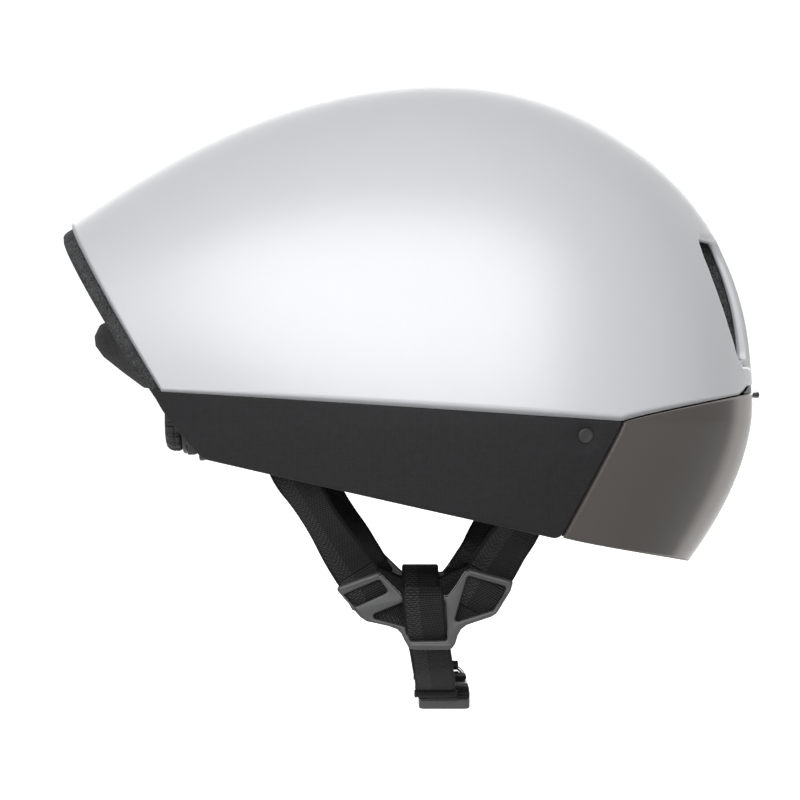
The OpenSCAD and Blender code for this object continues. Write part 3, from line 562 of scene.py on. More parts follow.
def foamBeads(name, light, dark):
    # expanded beads: lighter cells, darker joints and open pits
    look = {"beads": 760.0, "pits": 1300.0, "blots": 160.0, "cell": 0.22, "pit": 0.95, "blot": 0.55, "level": -0.35,
            "darkAt": 0.30, "lightAt": 0.72}
    mat, tree, shader = newMaterial(name, light, 0.85, Specular_IOR_Level=0.2)
    at = ownPlace(tree)
    beads = addNode(tree, "ShaderNodeTexVoronoi", feature="DISTANCE_TO_EDGE", Vector=at, Scale=look["beads"])
    edge = mathNode(tree, "MINIMUM", times(tree, beads.outputs["Distance"], 5.0), 1.0)
    level = plus(tree, times(tree, edge, look["cell"]), times(tree, noise(tree, at, look["pits"]), look["pit"]))
    slow = plus(tree, times(tree, noise(tree, at, look["blots"], 4.0), look["blot"]), look["level"])
    level = plus(tree, level, slow)
    ramp = addNode(tree, "ShaderNodeValToRGB", Fac=level)
    for stop, colour, place in zip(ramp.color_ramp.elements, (dark, light), (look["darkAt"], look["lightAt"])):
        stop.color, stop.position = (*colour, 1), place
    fill(tree, shader, Base_Color=ramp.outputs["Color"], Normal=bumpFrom(tree, level, 0.45, 0.0004))
    return mat


def tintedLens():
    # smoke tint with a painted reflection: the base colour turns to the pale edge colour where the lens turns away from
    # the view; faint wipe marks in the gloss
    look = {"tint": (0.104, 0.095, 0.085), "edge": (0.42, 0.37, 0.34), "glareFrom": 0.54, "glareTo": 0.68,
            "clear": 0.02, "rough": 0.24, "wiped": 0.10}
    mat, tree, shader = newMaterial("tintedLens", look["tint"], look["rough"], IOR=1.36,
                                    Transmission_Weight=look["clear"])
    marks = times(tree, noise(tree, ownPlace(tree), 35.0, 6.0, 0.8), look["wiped"])
    away = addNode(tree, "ShaderNodeLayerWeight", Blend=0.5).outputs["Facing"]
    band = addNode(tree, "ShaderNodeMapRange", interpolation_type="SMOOTHSTEP", Value=away,
                   From_Min=look["glareFrom"], From_Max=look["glareTo"])
    # painted reflection: the tint blends into the pale edge colour towards grazing angles
    tintAndGlare = addNode(tree, "ShaderNodeMix", data_type="RGBA", Factor=band.outputs["Result"])
    tintAndGlare.inputs[6].default_value = (*look["tint"], 1)
    tintAndGlare.inputs[7].default_value = (*look["edge"], 1)
    fill(tree, shader, Base_Color=tintAndGlare.outputs[2], Roughness=plus(tree, marks, look["rough"] - look["wiped"] / 2))
    return mat


def webCloth():
    # the ground of the webbing: fine lengthways threads from the strap's own map
    look = {"colour": (0.006, 0.006, 0.0063), "thread": 0.0006}
    mat, tree, shader = newMaterial("webCloth", look["colour"], 0.8, Specular_IOR_Level=0.2)
    own = addNode(tree, "ShaderNodeUVMap", uv_map="uv").outputs[0]
    thread = wave(tree, addNode(tree, "ShaderNodeSeparateXYZ", Vector=own).outputs["X"], look["thread"])
    shade = plus(tree, times(tree, thread, 0.25), 1.0)
    fill(tree, shader, Base_Color=shadeBy(tree, look["colour"], shade), Normal=bumpFrom(tree, thread, 0.6, 0.0001))
    return mat


def webRibs():
    # the raised ribs: bold V stitches in one edge third, a fine twill over the rest
    look = {"colour": (0.0115, 0.0115, 0.012), "stitch": 0.0021, "twill": 0.0013, "edge": 0.0016, "middle": 0.0048,
            "bold": 2.5, "fine": 0.75}
    mat, tree, shader = newMaterial("webRibs", look["colour"], 0.6, Specular_IOR_Level=0.25)
    at, along = (addNode(tree, "ShaderNodeAttribute", attribute_name=label).outputs["Fac"]
                 for label in ("acrossAt", "alongAt"))
    vee = plus(tree, mathNode(tree, "ABSOLUTE", plus(tree, at, -look["middle"])), along)
    bold = plus(tree, times(tree, wave(tree, vee, look["stitch"]), look["bold"] * 0.6), look["bold"])
    faint = plus(tree, times(tree, wave(tree, plus(tree, at, along), look["twill"]), look["fine"]), 1.0)
    pick = addNode(tree, "ShaderNodeMix", data_type="FLOAT", A=faint, B=bold,
                   Factor=mathNode(tree, "GREATER_THAN", at, look["edge"])).outputs[0]
    fill(tree, shader, Base_Color=shadeBy(tree, look["colour"], pick), Normal=bumpFrom(tree, pick, 0.6, 0.00012))
    return mat


whiteMat = moulded("shellWhite", (0.690, 0.700, 0.730), 0.42, 0.02, 1500.0, 0.00001,
                   Coat_Weight=1.0, Coat_Roughness=0.35, Coat_IOR=2.0)
foamMat = foamBeads("foamBeads", (0.110, 0.111, 0.114), (0.030, 0.030, 0.031))
# the tail bridge's foam is a darker copy of the bead foam: painted shade for a face that turns down, away from the
# lamps
shadedBridgeMat = foamBeads("bridgeBeadsShaded", (0.040, 0.040, 0.041), (0.016, 0.016, 0.017))
clothMat = dressed("coverCloth", (0.021, 0.021, 0.0225), 0.62, weave, {"Pitch": 0.00095, "Depth": 0.00009},
                   Specular_IOR_Level=0.2)
lensMat = tintedLens()
plasticMat = moulded("blackPlastic", (0.019, 0.019, 0.020), 0.42)
rubberMat = moulded("dialRubber", (0.015, 0.015, 0.016), 0.6, 0.2, 1600.0, 0.00008)
steelMat = moulded("magnetMetal", (0.60, 0.60, 0.59), 0.26, 0.06, 1200.0, 0.00001, Metallic=1.0)
webMat = webCloth()
webRibMat = webRibs()
dividerMat = moulded("dividerPlastic", (0.068, 0.068, 0.070), 0.30, 0.12)
buckleMat = moulded("bucklePlastic", (0.075, 0.075, 0.078), 0.34, 0.12)
padMat = dressed("padCloth", (0.022, 0.022, 0.024), 0.9, fuzz, {"Scale": 900.0}, Sheen_Weight=0.35,
                 Sheen_Roughness=0.6)
print("materials")

# outer shell
shell = {"wall": 1.6, "tailRows": 80, "frontRows": 130, "halfCols": 76, "lastPlace": 0.9995,
         "notchHalf": 38.0, "notchRamp": 10.0, "notchHigh": 2.7}
vent = {
    "inY": 7.0, "outY": 46.9, "lowZ": 14.0, "topZ": 67.0, "round": 7.0, "leanShare": 0.12,
    "lip": 2.6, "lipDeepTop": 3.6, "lipDeepLow": 5.6, "collar": 3.0, "rings": 18, "lipSteps": 8,
    "firstPlace": 0.40, "lowAngle": 9.0, "centre": (-27.0, 40.0), "crowd": 1.3, "clearY": 0.6, "collarSteps": 3,
    "endDeep": 0.5, "endIn": 0.8, "backGap": 0.4,
    "sideShares": [(0.20, 0.30), (0.0, 0.50), (0.05, 0.66), (0.35, 0.84), (1.1, 1.0)],
}


def ventLine(grow=0.0):
    # outline of the right vent, seen from the front, grown by a margin
    lean = (vent["outY"] - vent["inY"]) * vent["leanShare"]
    lo, hi, near, far = vent["lowZ"] - grow, vent["topZ"] + grow, vent["inY"] - grow, vent["outY"] + grow
    side = [(-far + lean * a, lo + (hi - lo) * b) for a, b in vent["sideShares"]]
    foot = [(-near, lo), (-far + 1.8 * lean, lo), (-far + 0.75 * lean, lo + lean)]
    return roundedOutline(foot + side + [(-near, hi)], vent["round"] + grow)


def reachOf(line, centre, phi):
    # distance from the centre to a closed line in each direction
    p = line - centre
    way = np.stack([np.cos(phi), np.sin(phi)], -1)
    out = np.full(len(phi), np.nan)
    for a, b in zip(p, np.roll(p, -1, 0) - p):
        det = way[:, 1] * b[0] - way[:, 0] * b[1]
        with np.errstate(divide="ignore", invalid="ignore"):
            far = (a[1] * b[0] - a[0] * b[1]) / det
            share = (way[:, 0] * a[1] - way[:, 1] * a[0]) / det
        out = np.fmax(out, np.where((far > 0) & (share >= -1e-9) & (share <= 1 + 1e-9), far, np.nan))
    return out


def frontSpot(y, z):
    # place and angle on the right front where the skin passes over y, z
    y, z = np.abs(np.asarray(y, float)), np.asarray(z, float)
    lo, hi = np.zeros_like(z), np.full_like(z, 0.99995)
    p = form["archPower"]
    for _ in range(50):
        s = (lo + hi) / 2
        k = (z - form["beltZ"]) / (topZ(s) - form["beltZ"])
        w = np.where(k >= 1, -1, footW(s) * power(1 - power(k, p), 1 / p))
        lo, hi = np.where(w > y, s, lo), np.where(w > y, hi, s)
    s = (lo + hi) / 2
    return s, angleAt(s, z)


def rowPlaces(part):
    return np.concatenate([np.linspace(-1, 0, part["tailRows"] + 1)[:-1],
                           np.linspace(0, part["lastPlace"], part["frontRows"] + 1)])


def domeGrid(places, low, half):
    # places and angles of a grid from the right edge over the top to the left edge
    right = low[:, None] + (90 - low[:, None]) * np.linspace(0, 1, half + 1)[None, :]
    angles = np.concatenate([right, 180 - right[:, -2::-1]], axis=1)
    return np.repeat(places[:, None], angles.shape[1], 1), angles


def domeFaces(rows, cols, skip=None):
    # faces of both grids of a dome, and of the strip that closes each over the nose
    faces, count, base = sheetFaces(rows, cols, skip), rows * cols, (rows - 1) * cols
    for j in range(cols // 2):
        strip = [base + j, base + j + 1, base + cols - 2 - j, base + cols - 1 - j]
        if strip[1] == strip[2]:
            strip.pop(2)
        faces += [tuple(strip), tuple(count + k for k in [strip[0]] + strip[:0:-1])]
    return faces


def domeLoop(rows, cols):
    # the open edge of a dome: up the right side, along the tail, down the left side
    loop = [i * cols for i in range(rows - 1, -1, -1)] + list(range(1, cols))
    return loop + [i * cols + cols - 1 for i in range(1, rows)]


def ventRings(border, placesAt, anglesAt):
    # rings of points from the shell's grid to the lip, round it and back to the inner grid
    centre = np.array(vent["centre"])
    phi = np.arctan2(border[:, 2] - centre[1], border[:, 1] - centre[0])
    edge = centre + np.stack([np.cos(phi), np.sin(phi)], -1) * reachOf(ventLine(), centre, phi)[:, None]
    tangent = np.roll(edge, -1, 0) - np.roll(edge, 1, 0)
    away = unit(np.stack([tangent[:, 1], -tangent[:, 0]], -1))
    away *= np.sign(np.sum(away * (edge - centre), -1, keepdims=True))

    def lifted(grow):
        q = edge + away * grow
        return frontSpot(np.minimum(q[:, 0], -vent["clearY"]), q[:, 1])

    lip, thick = vent["lip"], shell["wall"]
    collarS, collarA = lifted(lip + vent["collar"])
    spots = []
    for k in range(1, vent["rings"] + 1):
        f = 1 - (1 - k / vent["rings"]) ** vent["crowd"]
        spots.append((mix(placesAt, collarS, f), mix(anglesAt, collarA, f)))
    steps = vent["collarSteps"]
    spots += [lifted(lip + vent["collar"] * (1 - k / steps)) for k in range(1, steps + 1)]
    rim, rimN = skinPoint(*lifted(lip)), skinNormal(*lifted(lip))
    into = skinPoint(*lifted(0)) - rim
    into = unit(into - np.sum(into * rimN, -1, keepdims=True) * rimN)
    tall = np.clip((rim[:, 2] - vent["lowZ"]) / (vent["topZ"] - vent["lowZ"]), 0, 1)
    deep = mix(vent["lipDeepLow"], vent["lipDeepTop"], tall)[:, None]
    rings = []
    for k in range(1, vent["lipSteps"] + 1):
        a = math.pi / 2 * k / vent["lipSteps"]
        rings.append(rim + into * lip * math.sin(a) - rimN * lip * (1 - math.cos(a)))
    bottom = rings[-1]
    rings += [bottom - rimN * (deep - lip) * share for share in (0.5, 1)]
    end, gap = rings[-1], vent["backGap"]
    rings += [end - rimN * vent["endDeep"] - into * vent["endIn"], end - into * thick,
              rim - rimN * (thick + gap) + into * (lip - thick - gap)]
    back = [under(*spot, thick) for spot in spots[::-1]]
    return [skinPoint(*spot) for spot in spots] + rings + back


def makeShell():
    places, half = rowPlaces(shell), shell["halfCols"]
    rows, cols = len(places), 2 * half + 1
    notch = np.clip((shell["notchHalf"] + shell["notchRamp"] - footW(places)) / shell["notchRamp"], 0, 1)
    low = angleAt(places, edgeZ(footX(places)) + shell["notchHigh"] * notch * (places > 0))
    s, angles = domeGrid(places, low, half)
    outer = skinPoint(s, angles)
    verts = list(outer.reshape(-1, 3)) + list(under(s, angles, shell["wall"]).reshape(-1, 3))
    i0, i1 = int(np.searchsorted(places, vent["firstPlace"])), rows - 1
    j0, j1 = int(np.searchsorted(angles[i0, :half + 1], vent["lowAngle"])), half

    def hole(i, j):
        return i0 <= i < i1 and (j0 <= j < j1 or cols - 1 - j1 <= j < cols - 1 - j0)

    faces = domeFaces(rows, cols, hole)
    roundRim(verts, faces, domeLoop(rows, cols), rows * cols)
    patch = [(i0, j) for j in range(j0, j1 + 1)] + [(i, j1) for i in range(i0 + 1, i1 + 1)]
    patch += [(i1, j) for j in range(j1 - 1, j0 - 1, -1)] + [(i, j0) for i in range(i1 - 1, i0, -1)]
    border, placesAt, anglesAt = (np.array([table[i, j] for i, j in patch]) for table in (outer, s, angles))
    rings = ventRings(border, placesAt, anglesAt)
    for side in (1, -1):
        first = [i * cols + (j if side == 1 else cols - 1 - j) for i, j in patch]
        sided = rings if side == 1 else [mirrored(ring) for ring in rings]
        addRings(verts, faces, first, sided, [rows * cols + k for k in first], side == 1)
    settle(outward(makeObject("outerShell", verts, faces, [whiteMat])), "helmet", "shell_white", "outer_shell")


makeShell()
print("shell")

# foam liner and the tail bridge
foam = {
    "thick": 23.0, "tailThick": 12.0, "channel": 9.0, "rimOut": 7.4, "skirt": 15.0, "gap": 0.3,
    "face": 4.0, "stepZ": 12.0, "rimInset": 1.0, "rimRound": 2.2, "rimSteps": 7, "ventClear": 1.9,
    "cutX": (60.0, 145.0), "tailRows": 60, "frontRows": 60, "halfCols": 48, "lastPlace": 0.985,
    "skirtTail": 0.45, "skirtFront": 0.7, "thinFrom": 0.35, "channelAt": 32.0, "channelHalf": 14.0, "channelTo": 0.9,
    "rimFlat": 0.55,
}
bridge = {
    "halfW": 52.5, "bow": 17.0, "frontX": 112.0, "depth": 24.0, "lowZ": 8.5, "height": 26.0, "rows": 61,
    "shares": [(0, 1), (-0.80, 1), (-0.93, 0.90), (-0.985, 0.72), (-0.975, 0.56), (-0.89, 0.38), (-0.68, 0.12),
               (-0.46, -0.13), (-0.38, -0.14), (-0.30, 0.04), (-0.15, 0.3), (0, 0.7)],
}
rearDir = unit(np.array([form["beltZ"] - float(topZ(-1.0)), 0, float(topX(-1.0) - footX(-1.0))]))  # out of the tail


def foamLowZ(s):
    x = footX(s)
    back = mix(1, foam["skirtTail"], np.minimum(1, np.abs(x) / form["tailFootX"]) ** 2)
    return edgeZ(x) - foam["skirt"] * np.where(x < form["cornerX"], back, foam["skirtFront"])


def foamOut(s, a):
    rise = np.clip((skinPoint(s, a)[..., 2] - edgeZ(footX(s)) - foam["stepZ"]) / 3 + 1, 0, 1)
    return mix(foam["face"], shell["wall"] + foam["gap"], rise)


def foamIn(s, a):
    tail = power((-s - foam["thinFrom"]) / (1 - foam["thinFrom"]), 2)
    w = (np.abs(a - 90) - foam["channelAt"]) / foam["channelHalf"]  # one channel on each side of the crown
    dip = np.where(np.abs(w) < 1, np.cos(np.pi / 2 * w) ** 2, 0) * (1 - tail) * (s < foam["channelTo"])
    return shell["wall"] + foam["gap"] + mix(foam["thick"], foam["tailThick"], tail) - foam["channel"] * dip


def makeFoam():
    places = rowPlaces(foam)
    s, angles = domeGrid(places, angleAt(places, foamLowZ(places)), foam["halfCols"])
    outDeep, inDeep = foamOut(s, angles), foamIn(s, angles)
    taper = float(footW(-1 + rearDir[0] * foam["rimOut"] / form["tailFootX"]) / footW(-1.0))
    rimRows, rimIn = [], []
    for f in np.linspace(1, 0, foam["rimSteps"] + 1):
        turn = max(0, (f - foam["rimFlat"]) / (1 - foam["rimFlat"]))
        fall = foam["rimRound"] * (1 - math.sqrt(max(0, 1 - turn ** 2)))
        back = rearDir * foam["rimOut"] * f
        p = under(s[0], angles[0], outDeep[0] + foam["rimInset"] + fall) + back
        p[:, 1] *= mix(1, taper, f)
        rimRows.append(p)
        rimIn.append(under(s[0], angles[0], inDeep[0] - fall) + back)
    outer = np.concatenate([np.array(rimRows), under(s, angles, outDeep)])
    inner = np.concatenate([np.array(rimIn), under(s, angles, inDeep)])
    rows, cols = outer.shape[:2]
    loop = domeLoop(rows, cols)
    faces = domeFaces(rows, cols) + stitch(loop, [rows * cols + k for k in loop])
    verts = list(outer.reshape(-1, 3)) + list(inner.reshape(-1, 3))
    obj = outward(makeObject("foamLiner", verts, faces, [foamMat]))
    for side in (1, -1):
        ring = ventLine(foam["ventClear"]) * np.array([side, 1])
        cutter = loft("cut", [[(x, *p) for p in ring] for x in foam["cutX"]])
        mod = obj.modifiers.new("vent", "BOOLEAN")
        mod.operation, mod.object, mod.solver = "DIFFERENCE", cutter, "EXACT"
        bake(obj)
        bpy.data.objects.remove(cutter)
    settle(softAngle(repaint(obj, foamMat), 40), "helmet", "liner_foam", "foam_liner")


def makeBridge():
    section = roundedOutline(bridge["shares"], 0.06, 0.012)
    rings = []
    for y in np.linspace(-bridge["halfW"], bridge["halfW"], bridge["rows"]):
        bow = bridge["bow"] * max(0, math.cos(math.pi / 2 * y / bridge["halfW"])) ** 1.2
        rings.append([(-bridge["frontX"] + (bridge["depth"] + bow) * p[0], y,
                       bridge["lowZ"] + bridge["height"] * p[1]) for p in section])
    # the bridge takes the darker copy of the bead foam, which is painted shade
    settle(softAngle(loft("tailBridge", rings, [shadedBridgeMat]), 50), "helmet", "liner_foam", "tail_bridge")


makeFoam()
makeBridge()
print("foam")

# ear covers
cover = {
    "thick": 3.0, "frontDrop": 53.7, "frontX": 44.0, "rearDrop": 22.5, "rearX": 101.0, "bow": 0.4, "gap": 0.7,
    "cornerR": 2.2, "cols": 150, "rows": 60, "dimple": 1.5, "dimpleR": 4.6, "crowd": 0.75, "bulge": 0.9,
}
rivet = {"x": 51.0, "z": -14.0, "d": 6.2, "out": 0.35, "pinR": 1.5, "pinZ": -8.0,
         "head": [(1, -0.6), (1, 0.25), (0.96, 0.62), (0.86, 0.9), (0.74, 0.95), (0.66, 0.85), (0, 0.85)]}


def coverPlace(u, v):
    topX0 = mix(-form["coverTailX"], form["cornerX"] - cover["gap"], u)
    lowX = mix(-cover["rearX"], cover["frontX"] - cover["gap"], u)
    lowZ = mix(-cover["rearDrop"], -cover["frontDrop"], u)
    topZ0 = edgeZ(topX0) - cover["gap"]
    long = cover["frontX"] + cover["rearX"]
    lift = 0
    for d, r in (((1 - u) * long, cover["cornerR"]), (u * long, cover["cornerR"] * 0.7)):
        lift = lift + np.where(d < r, r - np.sqrt(np.maximum(0, r * r - np.maximum(0, r - d) ** 2)), 0)
    v = v * (1 - lift / (topZ0 - lowZ))
    return mix(topX0, lowX, v) - cover["bow"] * np.sin(np.pi * v) * (1 - u) ** 3, mix(topZ0, lowZ, v)


def makeCovers():
    along, down = grid(cover["cols"] + 1, cover["rows"] + 1)
    x, z = coverPlace(mix(along, 0.5 - 0.5 * np.cos(np.pi * along), cover["crowd"]), down)
    s, a = sideSpot(x, z)
    dip = cover["dimple"] * np.exp(-(np.hypot(x - rivet["x"], z - rivet["z"]) / cover["dimpleR"]) ** 2)
    faces = [under(s, a, dip), under(s, a, cover["thick"])]
    for side, name in ((1, "right"), (-1, "left")):
        out, inn = faces if side == 1 else [mirrored(f) for f in faces]
        obj = wall("earCover" + name.capitalize(), out, inn, [clothMat], cover["bulge"] * side, 4)
        settle(obj, "helmet", "cover_fabric", "ear_cover_" + name)


makeCovers()
print("covers")

# visor
visor = {"thick": 2.0, "drop": 68.2, "gap": 0.7, "cols": 90, "rows": 50, "lowPower": 0.85, "sideGap": 0.8,
         "sweep": 27.7, "sweepTop": 2.9, "sweepDeep": 71.0}


def swept(points, s):
    # the front of the visor leans back from its very top in one even curve
    n = planDir(s)
    z = points[..., 2]
    now = form["visorRake"] * power((form["beltZ"] - z) / form["rakeDepth"], form["rakePower"])
    want = visor["sweep"] * power((visor["sweepTop"] - z) / visor["sweepDeep"], 2)
    shift = ((now - want) * n[..., 0] ** 3)[..., None] * n
    return points + np.concatenate([shift[..., :1], -shift[..., 1:], 0 * shift[..., :1]], axis=-1)


def makeVisor():
    down, along = grid(visor["rows"] + 1, visor["cols"] + 1)
    tailX = mix(form["cornerX"], cover["frontX"], down)
    s = mix(frontPlace(tailX + visor["sideGap"]), form["lastPlace"], along)
    top = edgeZ(footX(s)) - visor["gap"]
    share = power((footX(s) - cover["frontX"]) / (form["noseX"] - cover["frontX"]), visor["lowPower"])
    a = angleAt(s, mix(top, mix(-cover["frontDrop"], -visor["drop"], share), down))
    out, inn = (bothSides(swept(half, s)) for half in (skinPoint(s, a), under(s, a, visor["thick"])))
    settle(wall("visorLens", out, inn, [lensMat]), "visor", "visor_tint", "visor_lens")


makeVisor()
print("visor")

# rivets, visor tab and magnets
tab = {"root": 128.3, "len": 3.9, "w": 16.0, "t": 2.5, "z": 2.2, "steps": 12, "round": 28,
       "narrow": 0.16, "corner": 1.2, "cornerAt": 0.75, "waist": 0.25, "flare": 0.12, "endAt": 0.85, "endLen": 0.16,
       "footX": 121.4, "footLow": 2.6, "footHigh": 6.9, "footStart": 0.4, "footRamp": 0.3, "footDeep": (0.5, 2.6)}
magnet = {"d": 8.0, "x": 75.0, "sideZ": -13.0, "noseZ": -2.0,
          "visor": {"depth": visor["thick"] + 0.45, "t": 1.15}, "helmet": {"depth": 4.3, "t": 1.6}}


def spotFrame(x, z, depth):
    s, a = sideSpot(x, z)
    return under(s, a, depth), skinNormal(s, a)


def makeRivets():
    p, n = spotFrame(rivet["x"], rivet["z"], cover["dimple"] - rivet["out"])
    prof = [(0, rivet["pinZ"]), (rivet["pinR"], rivet["pinZ"]), (rivet["pinR"], -0.7)]
    prof += [(rivet["d"] / 2 * share, h) for share, h in rivet["head"]]
    one = lathe("rivetRight", prof, [plasticMat], 48, p, n)
    two = mirrorCopy(one, "rivetLeft")
    settle(joined("coverRivets", [softAngle(one), softAngle(two)]), "helmet", "black_plastic", "cover_rivets")


def makeTab():
    rings = []
    for k in range(tab["steps"] + 1):
        f = k / tab["steps"]
        corner = max(0, (f - tab["cornerAt"]) / (1 - tab["cornerAt"]))
        half = tab["w"] / 2 * (1 - tab["narrow"] * f ** 3) - tab["corner"] * (1 - math.sqrt(max(0, 1 - corner ** 2)))
        thick = tab["t"] * (1 - tab["waist"] * math.sin(math.pi * min(1, f * 1.2)) + tab["flare"] * f)
        if f > tab["endAt"]:
            thick *= math.sqrt(max(0.02, 1 - ((f - tab["endAt"]) / tab["endLen"]) ** 2))
        ring = []
        for t in np.linspace(0, 2 * math.pi, tab["round"], endpoint=False):
            y, z = math.cos(t), math.sin(t)
            ring.append((tab["root"] + tab["len"] * f, half * math.copysign(abs(y) ** 0.35, y),
                         tab["z"] + thick / 2 * math.copysign(abs(z) ** 0.6, z)))
        rings.append(ring)
    nib = softAngle(loft("visorTab", rings, [plasticMat]), 50)
    down, along = grid(9, 41)
    s = mix(frontPlace(tab["footX"]), form["lastPlace"], along)
    high = mix(tab["footLow"] + tab["footStart"], tab["footHigh"], np.minimum(1, along / tab["footRamp"]))
    a = angleAt(s, mix(high, tab["footLow"], down))
    foot = wall("visorTabFoot", *(bothSides(under(s, a, deep)) for deep in tab["footDeep"]), [plasticMat])
    settle(joined("visorTab", [nib, foot]), "visor", "black_plastic", "visor_tab")


def discEdge(r, t, edge):
    # the rounded outside of a disc
    return [(r - edge, 0), (r - edge * 0.3, edge * 0.3), (r, edge), (r, t - edge),
            (r - edge * 0.3, t - edge * 0.3), (r - edge, t)]


def makeMagnets(body):
    name, depth, t = body + "Magnets", magnet[body]["depth"], magnet[body]["t"]
    p, n = spotFrame(magnet["x"], magnet["sideZ"], depth)
    prof = [(0, 0), *discEdge(magnet["d"] / 2, t, 0.25), (0, t)]
    side = lathe(name + "Right", prof, [steelMat], 40, p - n * t, n)
    twin = mirrorCopy(side, name + "Left")
    nose = lathe(name + "Nose", prof, [steelMat], 40, (form["noseX"] - depth - t, 0, magnet["noseZ"]), (1, 0, 0))
    obj = joined(name, [softAngle(side), softAngle(twin), softAngle(nose)])
    settle(obj, body, "magnet_metal", body + "_magnets")


makeRivets()
makeTab()
makeMagnets("visor")
makeMagnets("helmet")
print("small parts")

# webbing
web = {"w": 16.0, "t": 1.6, "step": 1.4, "ribPitch": 0.85, "ribR": 0.46, "ribFlat": 0.42, "ribShort": 1.2,
       "ribSink": 0.05, "uneven": 0.03, "edgeIn": 0.45, "edgeR": 0.58, "flatIn": 0.35, "cornerIn": 0.08,
       "cornerUp": 0.32, "flatSteps": 7}


def catmull(points, n):
    pts = np.asarray(points, float)
    last = len(pts) - 1
    line = []
    for i in range(last):
        a, b, c, d = pts[max(0, i - 1)], pts[i], pts[i + 1], pts[min(last, i + 2)]
        for k in range(n):
            t = k / n
            line.append(0.5 * (2 * b + (c - a) * t + (2 * a - 5 * b + 4 * c - d) * t * t
                               + (3 * b - a - 3 * c + d) * t ** 3))
    return np.array([*line, pts[-1]])


def strapFrames(points, facing, step):
    # even places along a strap, with its side and facing directions and the length run
    path, face = catmull(points, 10), catmull(facing, 10)
    d = np.concatenate([[0], np.cumsum(np.linalg.norm(np.diff(path, axis=0), axis=1))])
    run = np.linspace(0, d[-1], max(2, int(round(d[-1] / step)) + 1))
    path, face = (np.stack([np.interp(run, d, rows[:, k]) for k in range(3)], -1) for rows in (path, face))
    way = unit(np.gradient(path, axis=0))
    side = unit(np.cross(way, face))
    return path, side, unit(np.cross(side, way)), run


def webStrap(name, points, facing, w):
    t = web["t"]
    path, side, up, run = strapFrames(points, facing, web["step"])
    flat, corner = w / 2 - t * web["flatIn"], w / 2 - t * web["cornerIn"]
    up0, steps = t * web["cornerUp"], web["flatSteps"]
    half = [(flat * (2 * k / steps - 1), t / 2) for k in range(steps + 1)]
    half += [(corner, up0), (w / 2, 0), (corner, -up0)]
    section = half + [(-a, -b) for a, b in half]
    rings = [[p + s * a + u * b for a, b in section] for p, s, u in zip(path, side, up)]
    uv = [((a / w + 0.5) * w * mm, far * mm) for far in run for a, b in section]
    return softAngle(loft(name, rings, [webMat], uv), 60)


def barTree():
    # rounded bars set on points along their own across and up directions
    tree = bpy.data.node_groups.new("barsOnPoints", "GeometryNodeTree")
    sockets = [("Geometry", "Geometry", None), ("Length", "Float", 0.0150), ("Radius", "Float", 0.0005),
               ("Flatness", "Float", 0.5), ("Unevenness", "Float", 0.00005), ("Seed", "Int", 3),
               ("Material", "Material", None)]
    for label, kind, value in sockets:
        socket = tree.interface.new_socket(label, in_out="INPUT", socket_type="NodeSocket" + kind)
        if value:
            socket.default_value = value
    tree.interface.new_socket("Geometry", in_out="OUTPUT", socket_type="NodeSocketGeometry")
    start = tree.nodes.new("NodeGroupInput").outputs
    ends = [addNode(tree, "ShaderNodeCombineXYZ", X=times(tree, start["Length"], share)).outputs[0]
            for share in (-0.5, 0.5)]
    line = addNode(tree, "GeometryNodeCurvePrimitiveLine", Start=ends[0], End=ends[1])
    ring = addNode(tree, "GeometryNodeCurvePrimitiveCircle", Resolution=6, Radius=start["Radius"])
    bar = addNode(tree, "GeometryNodeCurveToMesh", Curve=line.outputs["Curve"], Profile_Curve=ring.outputs["Curve"],
                  Fill_Caps=True)
    place = addNode(tree, "GeometryNodeInputPosition").outputs[0]
    keep = addNode(tree, "GeometryNodeStoreNamedAttribute", data_type="FLOAT", domain="POINT", Name="acrossAt",
                   Geometry=bar.outputs["Mesh"],
                   Value=addNode(tree, "ShaderNodeSeparateXYZ", Vector=place).outputs["X"])
    flat = addNode(tree, "ShaderNodeCombineXYZ", X=1, Y=1, Z=start["Flatness"])
    squeeze = addNode(tree, "GeometryNodeTransform", Geometry=keep.outputs["Geometry"], Scale=flat.outputs[0])
    across, up = (addNode(tree, "GeometryNodeInputNamedAttribute", data_type="FLOAT_VECTOR",
                          Name=label).outputs["Attribute"] for label in ("across", "up"))
    turn = addNode(tree, "FunctionNodeAlignRotationToVector", axis="X", Vector=across)
    turn = addNode(tree, "FunctionNodeAlignRotationToVector", axis="Z", pivot_axis="X",
                   Rotation=turn.outputs["Rotation"], Vector=up)
    low, high = (shadeBy(tree, (side,) * 3, start["Unevenness"]) for side in (-1, 1))
    jitter = addNode(tree, "FunctionNodeRandomValue", data_type="FLOAT_VECTOR", Min=low, Max=high, Seed=start["Seed"])
    shake = addNode(tree, "GeometryNodeSetPosition", Geometry=start["Geometry"], Offset=jitter.outputs[0])
    spread = addNode(tree, "GeometryNodeInstanceOnPoints", Points=shake.outputs["Geometry"],
                     Instance=squeeze.outputs["Geometry"], Rotation=turn.outputs["Rotation"])
    real = addNode(tree, "GeometryNodeRealizeInstances", Geometry=spread.outputs["Instances"])
    paint = addNode(tree, "GeometryNodeSetMaterial", Geometry=real.outputs["Geometry"], Material=start["Material"])
    addNode(tree, "NodeGroupOutput", Geometry=paint.outputs["Geometry"])
    return tree


bars = barTree()


